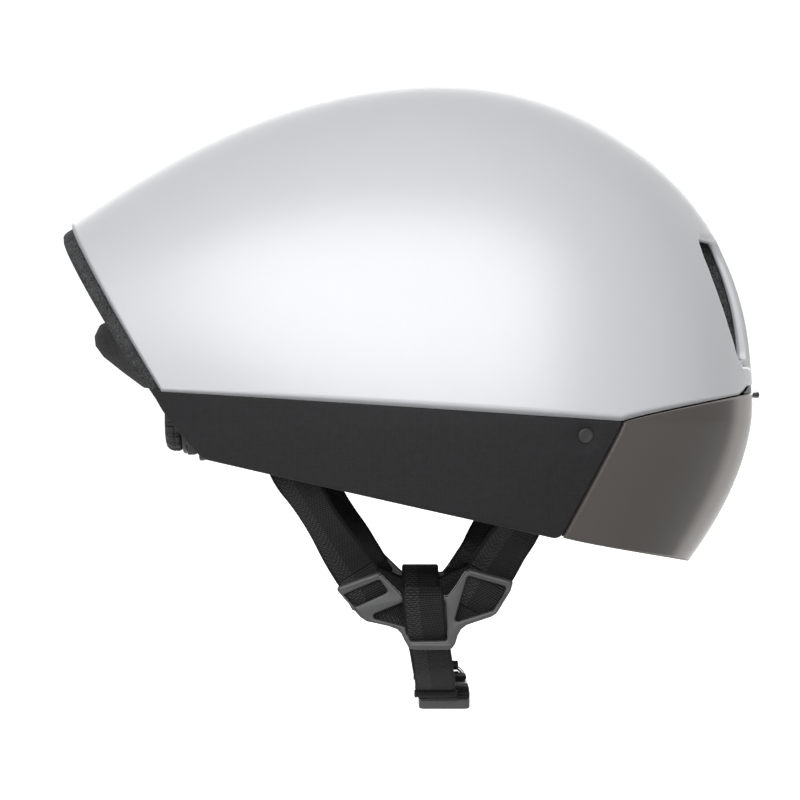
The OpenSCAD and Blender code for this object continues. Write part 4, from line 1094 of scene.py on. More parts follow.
def setBars(name, points, across, up, length, seed):
    # one bar per point, made real
    mesh = bpy.data.meshes.new(name)
    mesh.from_pydata([tuple(float(c) * mm for c in p) for p in points], [], [])
    for label, rows in (("across", across), ("up", up)):
        layer = mesh.attributes.new(label, "FLOAT_VECTOR", "POINT")
        for item, row in zip(layer.data, rows):
            item.vector = tuple(float(c) for c in row)
    steps = np.linalg.norm(np.diff(points, axis=0), axis=1)
    layer = mesh.attributes.new("alongAt", "FLOAT", "POINT")
    for item, far in zip(layer.data, np.concatenate([[0], np.cumsum(steps)])):
        item.value = float(far) * mm
    obj = addObject(name, mesh)
    mod = obj.modifiers.new("bars", "NODES")
    mod.node_group = bars
    values = {"Length": length * mm, "Radius": web["ribPitch"] * web["ribR"] * mm, "Flatness": web["ribFlat"],
              "Unevenness": web["uneven"] * mm, "Seed": seed, "Material": webRibMat}
    for item in bars.interface.items_tree:
        if item.in_out == "INPUT" and item.name in values:
            mod[item.identifier] = values[item.name]
    bake(obj).data.shade_smooth()
    return obj


def ribbedStrap(name, points, facing, seed, w=web["w"]):
    # webbing with its cross ribs on both faces and its rolled edges
    t = web["t"]
    path, side, up = (rows[1:-1] for rows in strapFrames(points, facing, web["ribPitch"])[:3])
    parts = [webStrap(name + "Body", points, facing, w)]
    parts += [setBars(name + "Ribs", path + up * sign * (t / 2 - web["ribSink"]), side, up * sign,
                      w - web["ribShort"], seed) for sign in (1, -1)]
    parts += [sweptBar(name + "Edge", path + side * sign * (w / 2 - web["edgeIn"]), t * web["edgeR"], [webMat], 8)
              for sign in (1, -1)]
    return joined(name, parts)


# dividers
divider = {
    "x": -11.9, "drop": 85.0, "y": 64.0, "t": 3.2, "bevel": 0.9, "round": 1.1, "railR": 1.55, "plateLess": 0.6,
    "outline": [(-34.9, 8.6), (-33.0, 10.3), (-20.5, 15.0), (-18.3, 15.5), (-16.8, 14.6), (-8.4, 6.4),
                (9.6, 6.4), (12.0, 9.3), (16.6, 16.2), (18.6, 17.0), (34.3, 12.6), (35.6, 11.2), (35.0, 8.6),
                (29.4, -0.5), (27.3, -2.0), (17.2, -5.4), (15.0, -7.1), (13.6, -9.6), (12.6, -13.0),
                (11.2, -14.9), (9.4, -15.3), (-3.6, -15.3), (-6.2, -14.4), (-7.9, -11.4), (-9.1, -8.8),
                (-10.8, -7.1), (-13.4, -6.0), (-23.0, -3.9), (-25.6, -2.2)],
    "windows": [[(-32.4, 6.8), (-17.8, 12.9), (-14.2, 8.0), (-27.4, 2.0)],
                [(-22.6, -2.0), (-7.3, 4.2), (8.2, 4.2), (8.7, -4.4), (9.4, -11.6), (-5.4, -11.8), (-7.0, -6.0)],
                [(17.6, 14.4), (33.2, 10.0), (31.6, 6.4), (27.8, 0.6), (12.0, -4.4)]],
    "rails": [[(-33.3, 9.0), (-18.6, 14.4)], [(18.6, 15.8), (34.2, 11.4)], [(-4.6, -13.6), (10.2, -13.6)]],
}


def makeDividers():
    # drawn in the XZ plane on the right-hand side, the outer face towards -Y
    y = -(divider["y"] + divider["t"] / 2)
    stand = Matrix(((1, 0, 0, divider["x"] * mm), (0, 0, 1, y * mm), (0, 1, 0, -divider["drop"] * mm), (0, 0, 0, 1)))
    parts = [cutPlate("dividerPlate", divider["outline"], divider["windows"], divider["t"] - divider["plateLess"],
                      divider["bevel"], [dividerMat], divider["round"], stand)]
    for rail in divider["rails"]:
        a, b = (np.array([divider["x"] + p[0], y, -divider["drop"] + p[1]]) for p in rail)
        line = [mix(a, b, f) for f in np.linspace(0, 1, 6)]
        parts.append(sweptBar("dividerRail", line, divider["railR"], [dividerMat], 14))
    right = softAngle(joined("dividerRight", parts), 40)
    left = mirrorCopy(right, "dividerLeft")
    settle(right, "helmet", "divider_plastic", "divider_right")
    settle(left, "helmet", "divider_plastic", "divider_left")


makeDividers()
print("dividers")

# straps: places and facing directions along each route
straps = {
    "rear": [(-70, -80, -9.5), (-65.5, -80, -25), (-58.5, -77.5, -38), (-49.5, -70.5, -53.0), (-40.8, -62.9, -67.2),
             (-38.6, -62.7, -70.6), (-36.2, -64.2, -74.8), (-34.4, -64.3, -78.0), (-32.6, -62.3, -81.4)],
    "rearFace": [(0, -1, 0), (0, -1, 0), (-0.5, -0.85, 0.1), (-0.5, -0.85, 0.1), (0, -1, 0), (0, -1, 0.2),
                 (0, -1, 0.2), (0, -1, -0.2), (0, -1, -0.2)],
    "rearCross": [(-36.0, -61.6, -80.6), (-31, -61.6, -82.2), (-23, -62.2, -86.0), (-14, -62.2, -88.6)],
    "front": [(32, -84, -19), (30.5, -83, -33), (26.3, -76, -49.5), (20.2, -68.5, -60), (15.4, -62.7, -68.8),
              (12.8, -64.2, -73.2), (8.4, -64.3, -80.4), (6.4, -62.3, -83.6)],
    "frontFace": [(0, -1, 0), (0, -1, 0), (0.3, -0.95, 0), (0.2, -0.97, 0), (0, -1, 0.2), (0, -1, 0.2),
                  (0, -1, -0.2), (0, -1, -0.2)],
    "frontCross": [(13.0, -61.6, -79.4), (9.0, -61.6, -81.4), (3, -61.6, -84.0), (-4, -61.6, -87.8)],
    "rearW": 16.6, "frontW": 17.8, "crossW": 11.0,
    "chin": [(-12.3, -59.6, -86), (-12.3, -60.4, -80), (-12.3, -63.2, -77.0), (-12.3, -66.2, -76.1),
             (-12.3, -68.9, -77.6), (-12.2, -69.0, -81), (-11.7, -68.6, -86), (-11.1, -67.4, -91.5),
             (-10.6, -64.4, -95.6), (-9.6, -62.0, -99.6), (-8.1, -53.0, -109.2), (-7.0, -39.5, -116.8),
             (-7.0, -33.0, -119.4), (-6.8, -30.2, -120.6)],
    "chinFace": [(0, 1, 0), (0, 1, 0.3), (0, 0.55, 0.8), (0, 0, 1), (0, -0.8, 0.5), (0, -1, 0), (0, -1, 0),
                 (0, -1, -0.1), (0, -1, -0.2), (0, -1, -0.15), (0, -0.9, -0.5), (0, -0.6, -0.9), (0, -0.4, -1),
                 (0, -0.4, -1)],
    "return": [(-5.4, -30.0, -123.6), (-5.0, -27.0, -124.6), (-4.6, -23.4, -125.4)],
    "returnFace": [(0, -0.3, -1), (0, -0.2, -1), (0, -0.2, -1)],
    "fold": [(4.1, -24.4, -124.9), (4.1, -26.2, -124.2), (4.1, -26.6, -122.8), (4.1, -25.4, -121.4),
             (4.1, -22, -120.9), (4.1, -12, -121.0)],
    "foldFace": [(0, -1, -0.4), (0, -1, -0.3), (0, -1, 0.2), (0, -0.6, 1), (0, 0, 1), (0, 0, 1)],
    "foldW": 5.8, "chinW": 15.7,
    "roll": {"x": (-15.6, 2.2), "y": -30.2, "z": -122.3, "r": 1.85, "pitch": 1.05, "deep": 0.34},
}


def ridgedRoll(name, roll):
    # webbing rolled tightly round a bar, seen as close ridges
    x0, x1 = roll["x"]
    r, long = roll["r"], x1 - x0
    count = int(long / roll["pitch"])
    step = (long - 0.5) / count
    prof = [(0, 0), (r * 0.7, 0.05)]
    for k in range(count):
        h = 0.25 + step * k
        prof += [(r - roll["deep"], h), (r, h + step * 0.3), (r, h + step * 0.7)]
    prof += [(r * 0.7, long - 0.05), (0, long)]
    return softAngle(lathe(name, prof, [webRibMat], 28, (x0, roll["y"], roll["z"]), (1, 0, 0)), 60)


def makeStraps():
    for kind in ("rear", "front"):
        cross = straps[kind + "Cross"]
        right = joined(kind + "StrapRight", [
            ribbedStrap(kind + "StrapRight", straps[kind], straps[kind + "Face"], 5, straps[kind + "W"]),
            ribbedStrap(kind + "Cross", cross, [(0, -1, 0)] * len(cross), 6, straps["crossW"])])
        left = mirrorCopy(right, kind + "StrapLeft")
        settle(right, "helmet", "webbing", kind + "_strap_right")
        settle(left, "helmet", "webbing", kind + "_strap_left")
    chinRight = joined("chinStrapRight", [
        ribbedStrap("chinStrapRight", straps["chin"], straps["chinFace"], 9, straps["chinW"]),
        ribbedStrap("chinReturn", straps["return"], straps["returnFace"], 10),
        ribbedStrap("chinFold", straps["fold"], straps["foldFace"], 11, straps["foldW"]),
        ridgedRoll("chinRoll", straps["roll"])])
    chinLeft = mirrorCopy(chinRight, "chinStrapLeft")
    settle(chinRight, "helmet", "webbing", "chin_strap_right")
    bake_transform(chinLeft)
    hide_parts("chin_strap_left")


makeStraps()
print("straps")

# inside fit parts: rail, housing, dial, pinion, arms, cradle and band
fit = {
    "railX": -112.0, "railT": 2.0, "railW": 18.0, "railTop": 34.5, "railLow": -23.4, "slotW": 6.2, "slotTop": -1.9,
    "slotLow": -21.1, "axisZ": -8.0, "clickPitch": 4.0, "clickD": 1.6, "clickY": 6.0, "clickIn": (2.0, 3.0),
    "railBevel": 0.3, "railRound": 1.4, "houseR": 15.0,
    "houseRear": -114.3, "houseFront": -107.7, "discT": 2.0, "bore": 2.6, "sideT": 2.9, "rackX": -107.4,
    "rackT": 3.0, "cradleX": -104.1, "wall": 2.0,
}
dial = {"r": 14.0, "len": 7.2, "frontX": -114.4, "grips": 18, "gripDeep": 0.09, "gripFrom": 0.85, "shaftR": 2.5,
        "shaftLen": 10.2, "sink": 0.02,
        "rise": [(0, 0), (0.84, 0), (0.92, 0.3), (0.975, 1.0), (1, 2.0), (1, 2.6), (0.98, 2.9), (1, 3.2)],
        "fall": [(0.995, 3.4), (0.975, 2.2), (0.935, 1.2), (0.87, 0.35), (0.80, 0), (0.72, 0), (0.69, 0.3),
                 (0.67, 1.1), (0.5, 1.2), (0.3, 0.95), (0, 0.9)]}
pinion = {"root": 4.9, "tip": 5.5, "teeth": 12, "rootAt": 0.26, "tipAt": 0.16, "bore": 2.5}
arm = {"reach": 60.0, "tail": 12.0, "lowZ": -2.2, "highZ": 1.8, "paddleW": 12.0, "paddleLow": -22.2, "tooth": 1.2,
       "teeth": 5, "bevel": 0.45, "slots": (3, 8, 13), "slotH": 2.2}
cradle = {"half": 46.0, "low": -25.0, "high": 9.0, "holeY": 28.52, "holeW": 12.24, "holeH": 18.36,
          "postY": 4.0, "postZ": 12.2, "postR": 1.8, "rimR": 1.3, "rimIn": 6.0, "round": 5.0}
band = {"low": -3.0, "high": 9.0, "face": 25.3, "t": 1.2, "from": 0.1, "to": 0.985, "rim": 0.45, "rimFrom": 0.38}


def makeRail():
    half, slot = fit["railW"] / 2, fit["slotW"] / 2
    low, high = fit["clickIn"]
    clicks = np.arange(fit["slotLow"] + low, fit["railTop"] - high, fit["clickPitch"])
    holes = [rectangle(-slot, fit["slotLow"], slot, fit["slotTop"])]
    holes += [ringPoints(side * fit["clickY"], z, fit["clickD"] / 2) for side in (-1, 1) for z in clicks]
    plate = cutPlate("heightRail", rectangle(-half, fit["railLow"], half, fit["railTop"]), holes, fit["railT"],
                     fit["railBevel"], [plasticMat], fit["railRound"], standYZ(fit["railX"] + fit["railT"] / 2))
    settle(plate, "helmet", "black_plastic", "height_rail")


def makeHousing():
    r, t, bore = fit["houseR"], fit["discT"], fit["bore"]
    prof = [(bore, 0), *discEdge(r, t, 0.5), (r * 0.82, t), (r * 0.78, t - 0.3), (bore + 1.2, t - 0.3),
            (bore + 0.8, t), (bore, t), (bore, 0)]
    parts = [softAngle(lathe(name, prof, [plasticMat], 72, (x, 0, fit["axisZ"]), (1, 0, 0), closed=True))
             for name, x in (("houseRear", fit["houseRear"]), ("houseFront", fit["houseFront"] - t))]
    side = r - 0.1
    turn = np.linspace(-1, 1, 13) * math.acos((fit["railW"] / 2 + 0.3) / side)
    for sign in (1, -1):
        line = [(sign * side * math.cos(a), fit["axisZ"] + side * math.sin(a)) for a in turn]
        parts.append(cutPlate("houseSide", line, [], fit["sideT"], 0.1, [plasticMat], 0.4,
                              standYZ((fit["houseRear"] + fit["houseFront"]) / 2)))
    settle(joined("dialHousing", parts), "cradle", "black_plastic", "dial_housing")


def makeDial():
    r, t, shaftR, shaftLen = dial["r"], dial["len"], dial["shaftR"], dial["shaftLen"]

    def grips(turn, radius):
        deep = dial["gripDeep"] if radius > dial["gripFrom"] * r else 0.0
        return 1 - deep * np.clip(np.cos(dial["grips"] * turn), 0, 1) ** 0.6

    prof = [(r * share, h) for share, h in dial["rise"]] + [(r * share, t - h) for share, h in dial["fall"]]
    knob = lathe("fitDial", prof, [rubberMat], 216, (dial["frontX"], 0, fit["axisZ"]), (-1, 0, 0), grips)
    rod = [(0, 0), (shaftR, 0), (shaftR, shaftLen - 0.3), (shaftR - 0.3, shaftLen), (0, shaftLen)]
    shaft = lathe("dialShaft", rod, [plasticMat], 48, (dial["frontX"] + dial["sink"], 0, fit["axisZ"]), (1, 0, 0))
    settle(joined("fitDial", [softAngle(knob, 50), softAngle(shaft)]), "dial", "dial_rubber", "fit_dial")


def makePinion():
    p, line = pinion, []
    for k in range(p["teeth"]):
        for part, r in ((-p["rootAt"], p["root"]), (-p["tipAt"], p["tip"]), (p["tipAt"], p["tip"]),
                        (p["rootAt"], p["root"])):
            t = 2 * math.pi * (k + part) / p["teeth"]
            line.append((r * math.cos(t), fit["axisZ"] + r * math.sin(t)))
    plate = cutPlate("dialPinion", line, [ringPoints(0, fit["axisZ"], p["bore"], 24)], fit["rackT"], 0.12, [steelMat],
                     0.15, standYZ(fit["rackX"] + fit["rackT"] / 2))
    settle(plate, "dial", "magnet_metal", "dial_pinion")


def armLine():
    # outline of the right arm: top edge, paddle and toothed lower edge
    end, paddle = -arm["reach"], arm["paddleW"] - arm["reach"]
    low, high, foot = arm["lowZ"], arm["highZ"], arm["paddleLow"]
    line = [(arm["tail"], high), (2 + end, high), (end, high - 2.4), (end, foot + 2), (2 + end, foot),
            (paddle - 2, foot), (paddle, foot + 2), (paddle, low - 3), (paddle + 3, low)]
    step, top = arm["tooth"], low + arm["tooth"] / 2
    for k in range(-arm["teeth"], arm["teeth"] + 1):
        y = k * 2 * step
        if y + step < arm["tail"]:
            line += [(y, low), (y + 0.1, top), (y + step - 0.1, top), (y + step, low)]
    return line + [(arm["tail"], low)]


def makeArms():
    y0, y1 = 3 - arm["reach"], arm["paddleW"] - arm["reach"] - 3
    slots = [rectangle(y0, z, y1, z + arm["slotH"]) for z in (arm["paddleLow"] + up for up in arm["slots"])]
    for name, turn in (("Right", 1), ("Left", -1)):
        outline, *cuts = [[(turn * y, z if turn == 1 else 2 * fit["axisZ"] - z) for y, z in line]
                          for line in [armLine(), *slots]]
        plate = cutPlate("arm" + name, outline, cuts, fit["rackT"], arm["bevel"], [plasticMat], 1.0,
                         standYZ(fit["rackX"] + fit["rackT"] / 2))
        settle(plate, "arm_" + name.lower(), "black_plastic", "arm_" + name.lower())


def makeCradle():
    c = cradle
    middle, reach = fit["cradleX"] + fit["wall"] / 2, c["half"] - c["rimIn"]
    holes = [rectangle(side * c["holeY"] - c["holeW"] / 2, fit["axisZ"] - c["holeH"] / 2,
                       side * c["holeY"] + c["holeW"] / 2, fit["axisZ"] + c["holeH"] / 2) for side in (-1, 1)]
    parts = [cutPlate("cradlePlate", rectangle(-c["half"], c["low"], c["half"], c["high"]), holes, fit["wall"], 0.5,
                      [plasticMat], c["round"], standYZ(middle))]
    for z in (c["low"] + c["rimR"], c["high"] - c["rimR"]):
        line = [(middle, y, z) for y in np.linspace(-reach, reach, 9)]
        parts.append(sweptBar("cradleRim", line, c["rimR"], [plasticMat], 12, up=(1, 0, 0)))
    long = fit["cradleX"] + 0.2 - fit["houseFront"]
    post = [(0, 0), (c["postR"], 0), (c["postR"], long), (0, long)]
    parts += [lathe("post", post, [plasticMat], 32,
                    (fit["houseFront"], side * c["postY"], fit["axisZ"] + level * c["postZ"]), (1, 0, 0))
              for side in (-1, 1) for level in (-1, 1)]
    settle(softAngle(joined("cradle", parts), 40), "cradle", "black_plastic", "cradle")


def makeBand():
    level, along = grid(13, 70)
    s = mix(band["from"], band["to"], along)
    a = angleAt(s, mix(band["low"], band["high"], level))
    rim = band["rim"] * (np.abs(level - 0.5) > band["rimFrom"])
    out, inn = (bothSides(under(s, a, deep)) for deep in (band["face"], band["face"] + band["t"] + rim))
    settle(wall("headband", out, inn, [plasticMat]), "helmet", "black_plastic", "headband")


for make in (makeRail, makeHousing, makeDial, makePinion, makeArms, makeCradle, makeBand):
    make()
print("fit system")

# comfort pads: each a slab of the head's inner surface, swelled as cloth and then quilted
pads = {
    "thick": 6.0, "under": 0.7, "inset": 0.05, "voxel": 0.0042, "thinVoxel": 0.0015, "fine": 0.55, "pressure": 4.0,
    "frames": 20, "cap": 4.0, "outCap": 0.5, "quilt": 1.1, "quiltWide": 2.2, "fill": 0.55, "middle": (0, 0, 35),
    "rows": 40, "cols": 22, "rimRise": (6.0, 3.5), "rimLeast": 0.12, "rimSink": 0.2, "rimThick": 0.45, "midThick": 0.86,
    "brow": {"depth": 26.9, "from": 0.5, "to": 0.985, "low": -3.0, "high": 12.5, "seams": (-52, -26, 0, 26, 52)},
    "side": {"depth": 25.3, "from": -0.3, "to": 0.2, "low": 18.0, "high": 46.0, "seams": (-22, -4, 14)},
    "crown": {"depth": 25.3, "from": -0.26, "to": 0.26, "half": 13.0, "seams": (-32, -14, 4, 16)},
    "nape": {"x": -101.7, "y": (-29.8, -16.2), "z": (-21.6, 5.6), "deep": (0.25, 2.3), "seams": (-12.5, -3.5),
             "centre": (-60, -23, -8), "rows": 26, "cols": 14, "inset": (0.04, 0.05)},
}


def slab(name, points, depth):
    # points(u, v, depth) gives places; the rim is thinner than the middle
    along, across = (mix(pads["inset"], 1 - pads["inset"], f) for f in grid(pads["rows"], pads["cols"]))
    near = np.minimum(np.minimum(along, 1 - along) * pads["rimRise"][0],
                      np.minimum(across, 1 - across) * pads["rimRise"][1])
    crown = np.sqrt(np.clip(near, pads["rimLeast"], 1))
    depth, thick = depth + pads["under"], pads["thick"]
    out = points(along, across, depth + (1 - crown) * thick * pads["rimSink"])
    inn = points(along, across, depth + (thick - 2 * pads["under"]) * mix(pads["rimThick"], pads["midThick"], crown))
    return wall(name, out, inn, [padMat])


def swell(obj, centre, voxel=pads["voxel"]):
    # cloth pressure on a voxel copy; points move no further than the caps, and hardly at all outward
    mod = obj.modifiers.new("voxels", "REMESH")
    mod.mode, mod.voxel_size = "VOXEL", voxel * pads["fine"]
    start = np.array([v.co[:] for v in bake(obj).data.vertices])
    cloth = obj.modifiers.new("cloth", "CLOTH")
    cloth.settings.use_pressure = True
    cloth.settings.uniform_pressure_force = pads["pressure"]
    cloth.settings.effector_weights.gravity = 0
    cloth.settings.quality = 5
    for k in range(1, pads["frames"] + 1):
        bpy.context.scene.frame_set(k)
    now = obj.evaluated_get(bpy.context.evaluated_depsgraph_get())
    end = np.array([v.co[:] for v in now.data.vertices])
    obj.modifiers.clear()
    bpy.context.scene.frame_set(1)
    move = end - start
    far = np.linalg.norm(move, axis=1, keepdims=True)
    move *= np.minimum(1, pads["cap"] * mm / np.maximum(far, 1e-9))
    away = unit(start - np.array(centre) * mm)
    out = np.sum(move * away, axis=1, keepdims=True)
    move -= away * np.maximum(0, out - pads["outCap"] * mm)
    for v, p in zip(obj.data.vertices, start + move):
        v.co = p
    bm = bmesh.new()
    bm.from_mesh(obj.data)
    for _ in range(3):
        bmesh.ops.smooth_vert(bm, verts=bm.verts, factor=0.5, use_axis_x=True, use_axis_y=True, use_axis_z=True)
    bm.to_mesh(obj.data)
    bm.free()
    obj.modifiers.new("fine", "SUBSURF").levels = 1
    return bake(obj)


def quilt(obj, centre, axis, seams):
    # sewn channels: seams are places in mm along an axis, pressed in towards the shell
    centre = np.array(centre) * mm
    for v in obj.data.vertices:
        p = np.array(v.co[:])
        deep = max(math.exp(-(abs(p[axis] / mm - place) / pads["quiltWide"]) ** 2) for place in seams)
        if deep > 0.02:
            away, n = unit(p - centre), np.array(v.normal[:])
            v.co = p - n * deep * pads["quilt"] * mm * (1.0 if np.dot(n, away) < 0.2 else 0.2)
    return outward(repaint(obj, padMat))


def settlePad(obj, body, node):
    settle(obj, body, "pad_fabric", node)


def makePads():
    brow, side, crown, nape, middle = pads["brow"], pads["side"], pads["crown"], pads["nape"], pads["middle"]

    def browPoints(u, v, depth):
        s = mix(brow["from"], brow["to"], 1 - np.abs(2 * u - 1))
        p = under(s, angleAt(s, mix(brow["low"], brow["high"], v)), depth)
        p[..., 1] *= np.where(u > 0.5, -1.0, 1.0)
        return p

    def sidePoints(u, v, depth):
        s = mix(side["from"], side["to"], u)
        return under(s, angleAt(s, mix(side["low"], side["high"], v)), depth)

    def crownPoints(u, v, depth):
        return under(mix(crown["from"], crown["to"], u), 90 + crown["half"] * (2 * v - 1), depth)

    settlePad(quilt(swell(slab("browPad", browPoints, brow["depth"]), middle), middle, 1, brow["seams"]),
              "helmet", "brow_pad")
    right = quilt(swell(slab("sidePadRight", sidePoints, side["depth"]), middle), middle, 0, side["seams"])
    left = mirrorCopy(right, "sidePadLeft")
    settlePad(right, "helmet", "side_pad_right")
    settlePad(left, "helmet", "side_pad_left")
    settlePad(quilt(swell(slab("crownPad", crownPoints, crown["depth"]), middle), middle, 0, crown["seams"]),
              "helmet", "crown_pad")
    up, across = (mix(edge, 1 - edge, f) for edge, f in zip(nape["inset"], grid(nape["rows"], nape["cols"])))
    y, z = mix(*nape["y"], across), mix(*nape["z"], up)
    out, inn = (np.stack([nape["x"] + deep + 0 * y, y, z], axis=-1) for deep in nape["deep"])
    one = swell(wall("napePads", out, inn, [padMat]), nape["centre"], pads["thinVoxel"])
    pair = joined("napePads", [one, mirrorCopy(one, "napeTwin")])
    x, _, z = nape["centre"]
    settlePad(quilt(pair, (x, 0, z), 2, nape["seams"]), "cradle", "nape_pads")


makePads()
print("pads")

anchors = {"places": [(-70.0, -79.9, -6.5), (30.0, -84.06, -16.0)], "size": (20.0, 6.0, 10.0), "slot": (17.5, 3.1)}


def centred(x, y, w, h):
    return rectangle(x - w / 2, y - h / 2, x + w / 2, y + h / 2)


def makeAnchors():
    long, wide, high = anchors["size"]
    parts = [cutPlate("anchor", centred(0, 0, long, wide), [centred(0, 0, *anchors["slot"])], high, 0.4, [plasticMat],
                      1.0, Matrix.Translation(Vector(place) * mm)) for place in anchors["places"]]
    one = joined("anchorsRight", parts)
    settle(joined("strapAnchors", [one, mirrorCopy(one, "anchorsLeft")]), "helmet", "black_plastic", "strap_anchors")


makeAnchors()
print("anchors")

# chin buckle: socket on the right, tongue on the left, and the loose end with its pull
buckle = {
    "x": -2.9, "z": -126.0, "w": 21.5, "t": 7.6, "half": 24.0, "socket": 26.0, "gap": 0.3, "side": 3.0, "cover": 2.0,
    "round": 2.6, "bevel": 0.9, "slotW": 16.6, "slotL": 3.2, "wall": 3.2, "loopL": 9.6, "plateFrom": 8.6,
    "plateRound": 1.8, "windowY": 17.0, "lowR": 3.2, "highR": 4.0, "cheekTo": 14.5, "secondSlot": (4.2, 6.6),
    "prong": 14.0, "prongW": 4.5, "prongRoot": 1.0, "prongIn": 0.5, "prongTip": 2.5, "prongNose": (0.6, 0.35, 0.6),
}
tail = {
    "points": [(1.6, 18.5, 3.9), (2.0, 22.5, 4.0), (2.2, 25.2, 4.4), (2.3, 26.2, 5.6)],
    "facing": [(0, 0, 1), (0, 0.3, 1), (0, 0.9, 0.5), (0, 1, 0.1)], "w": 5.6,
    "neck": [(3.2, 8.0), (4.8, 7.2), (6.2, 5.4)], "neckR": 0.9,
    "pull": {"x": (0.6, 4.2), "y": 26.2, "z": buckle["z"] + 9.0, "r": 2.1, "pitch": 0.86, "deep": 0.14},
}


def planBlock(name, outline, holes, low, high, r, bevel):
    # a block drawn as its (X, Y) plan
    stand = Matrix.Translation(Vector((0, 0, (low + high) / 2)) * mm)
    return cutPlate(name, outline, holes, high - low, bevel, [buckleMat], r, stand)


def strapSlot(y0, y1):
    half = buckle["slotW"] / 2
    return rectangle(buckle["x"] - half, y0, buckle["x"] + half, y1)


def makeSocket():
    b = buckle
    x, y0, half = b["x"], -b["half"], b["w"] / 2
    low, high, start = b["z"] - b["t"] / 2, b["z"] + b["t"] / 2, y0 + b["plateFrom"]
    parts = [planBlock("socketLoop", rectangle(x - half, y0, x + half, y0 + b["loopL"]),
                       [strapSlot(y0 + b["wall"], y0 + b["wall"] + b["slotL"])], low, high, b["round"], b["bevel"])]
    plan = rectangle(x - half, start, x + half, y0 + b["socket"])
    skin = b["cover"] - 0.2
    for name, z, r in (("socketLow", low, b["lowR"]), ("socketHigh", high - skin, b["highR"])):
        window = ringPoints(x, y0 + b["windowY"], r, 16)
        parts.append(planBlock(name, plan, [window], z, z + skin, b["plateRound"], 0.5))
    y1, thick = y0 + b["cheekTo"], b["side"] / 2 - 0.1
    stand = Matrix(((1, 0, 0, 0), (0, 0, 1, (start + y1) / 2 * mm), (0, 1, 0, 0), (0, 0, 0, 1)))
    for side in (-1, 1):
        edge = x + side * (half - b["side"] / 2)
        parts.append(cutPlate("socketCheek", rectangle(edge - thick, low + 1, edge + thick, high - 1), [], y1 - start,
                              0.3, [buckleMat], 0.8, stand))
    settle(softAngle(joined("buckleSocket", parts), 40), "helmet", "buckle_plastic", "buckle_socket")


def makeTongue():
    b = buckle
    x, y0, y1, half = b["x"], b["socket"] - b["half"] + b["gap"], b["half"], b["w"] / 2
    slots = [strapSlot(y1 - b["wall"] - b["slotL"], y1 - b["wall"]), strapSlot(*(y0 + y for y in b["secondSlot"]))]
    parts = [planBlock("tongueBody", rectangle(x - half, y0, x + half, y1), slots, b["z"] - b["t"] / 2,
                       b["z"] + b["t"] / 2, b["round"], b["bevel"])]
    wide, tip, deep = b["prongW"], y0 - b["prong"] + 0.2, b["t"] / 2 - b["cover"]
    for side in (-1, 1):
        mid = x + side * (b["w"] - 2 * b["side"] - wide) / 2
        inner, outer = (b["prongIn"] if side == turn else 0 for turn in (1, -1))
        root, neck, nose = y0 + b["prongRoot"], tip + b["prongTip"], b["prongNose"]
        line = [(mid - wide / 2, root), (mid - wide / 2 + inner, neck), (mid - side * nose[0], tip),
                (mid + side * wide * nose[1], tip + nose[2]), (mid + wide / 2 - outer, neck), (mid + wide / 2, root)]
        parts.append(planBlock("prong", line, [], b["z"] - deep, b["z"] + deep, 0.8, 0.4))
    settle(softAngle(joined("buckleTongue", parts), 40), "tongue", "buckle_plastic", "buckle_tongue")


def makeTail():
    points = [(x, y, buckle["z"] + z) for x, y, z in tail["points"]]
    strip = ribbedStrap("strapTail", points, tail["facing"], 12, tail["w"])
    line = [(x, tail["pull"]["y"], buckle["z"] + z) for x, z in catmull(tail["neck"], 3)]
    neck = sweptBar("tailNeck", line, tail["neckR"], [steelMat])
    pull = ridgedRoll("tailPull", tail["pull"])
    settle(joined("strapTail", [strip, neck, pull]), "tongue", "webbing", "strap_tail")


makeSocket()
makeTongue()
makeTail()
print("buckle")

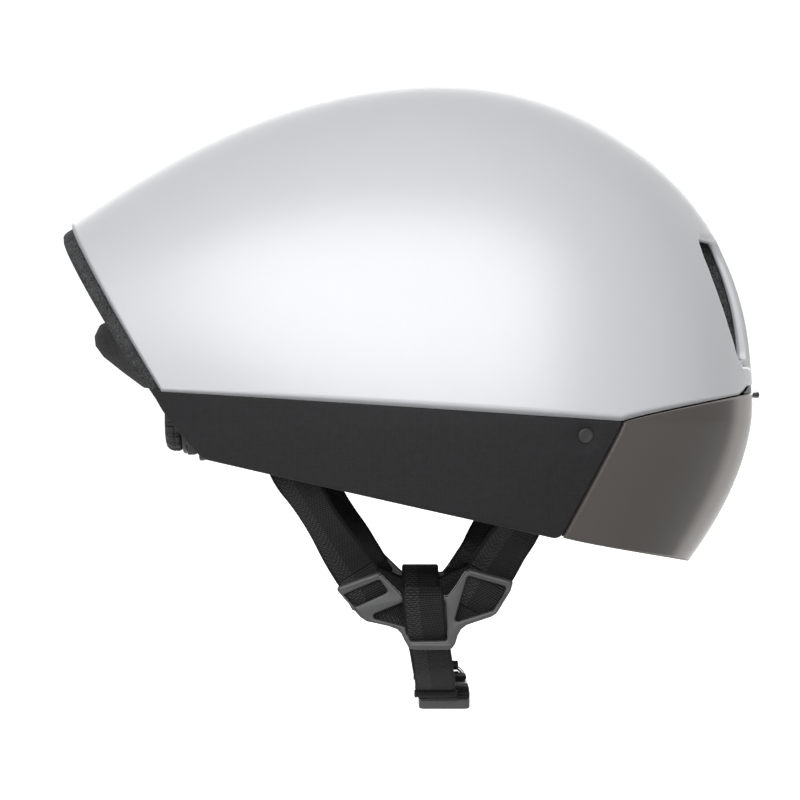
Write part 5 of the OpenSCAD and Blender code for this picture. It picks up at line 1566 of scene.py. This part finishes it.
# floor, light and camera
studio = {
    "floorZ": -0.32, "nearY": -3.0, "backY": 2.0, "sweep": 1.0, "highZ": 4.0, "wide": 6.0, "floorGlow": 1.0,
    "floorTone": 0.45, "world": 0.045, "shine": 0.71, "rim": 0.82,
    "lights": [("frontLight", (-0.37, -2.12, 1.12), (3.6, 2.4), 66.0),
               ("fillLight", (-0.2, 2.4, 0.7), (2.4, 1.6), 24.0)],
    "cameraAt": (-0.0215, -1.0, 0.0), "lens": 104.65, "sensor": 36.0,
}


def makeFloor():
    floorMat, tree, shader = newMaterial("floorPale", (studio["floorTone"],) * 3, 0.7, Emission_Color=(1, 1, 1, 1))
    path = addNode(tree, "ShaderNodeLightPath").outputs
    seen = plus(tree, path["Is Camera Ray"], times(tree, path["Is Glossy Ray"], studio["rim"]))
    fill(tree, shader, Emission_Strength=times(tree, seen, studio["floorGlow"]))
    z, y, r = studio["floorZ"], studio["backY"], studio["sweep"]
    line = [(studio["nearY"], z)]
    line += [(y + r * math.sin(t), z + r - r * math.cos(t)) for t in np.linspace(0, math.pi / 2, 12)]
    line += [(y + r, studio["highZ"])]
    verts = [(x, *p) for x in (-studio["wide"], studio["wide"]) for p in line]
    n = len(line)
    floor = makeObject("floor", verts, [(i, i + 1, n + i + 1, n + i) for i in range(n - 1)], [floorMat], scale=1.0)


def makeStudio():
    world = bpy.data.worlds.new("studio")
    bpy.context.scene.world = world
    world.use_nodes = True
    tree = world.node_tree
    path = addNode(tree, "ShaderNodeLightPath").outputs
    seen = plus(tree, times(tree, path["Is Camera Ray"], 1.0 - studio["world"]),
                times(tree, path["Is Glossy Ray"], studio["shine"]))
    fill(tree, tree.nodes["Background"], Color=(1, 1, 1, 1), Strength=plus(tree, seen, studio["world"]))
    for name, place, size, energy in studio["lights"]:
        data = bpy.data.lights.new(name, "AREA")
        data.shape = "RECTANGLE"
        data.size, data.size_y = size
        data.energy = energy
        lamp = addObject(name, data)
        lamp.location = place
        lamp.rotation_euler = (-Vector(place)).to_track_quat("-Z", "Y").to_euler()
    view = bpy.context.scene.view_settings
    view.view_transform = "Standard"
    view.look = "None"


def makeCamera():
    data = bpy.data.cameras.new("camera")
    data.lens = studio["lens"]
    data.sensor_width = studio["sensor"]
    cam = addObject("camera", data)
    cam.location = studio["cameraAt"]
    cam.rotation_euler = (math.radians(90), 0, 0)
    bpy.context.scene.camera = cam


makeFloor()
makeStudio()
makeCamera()
print("studio")
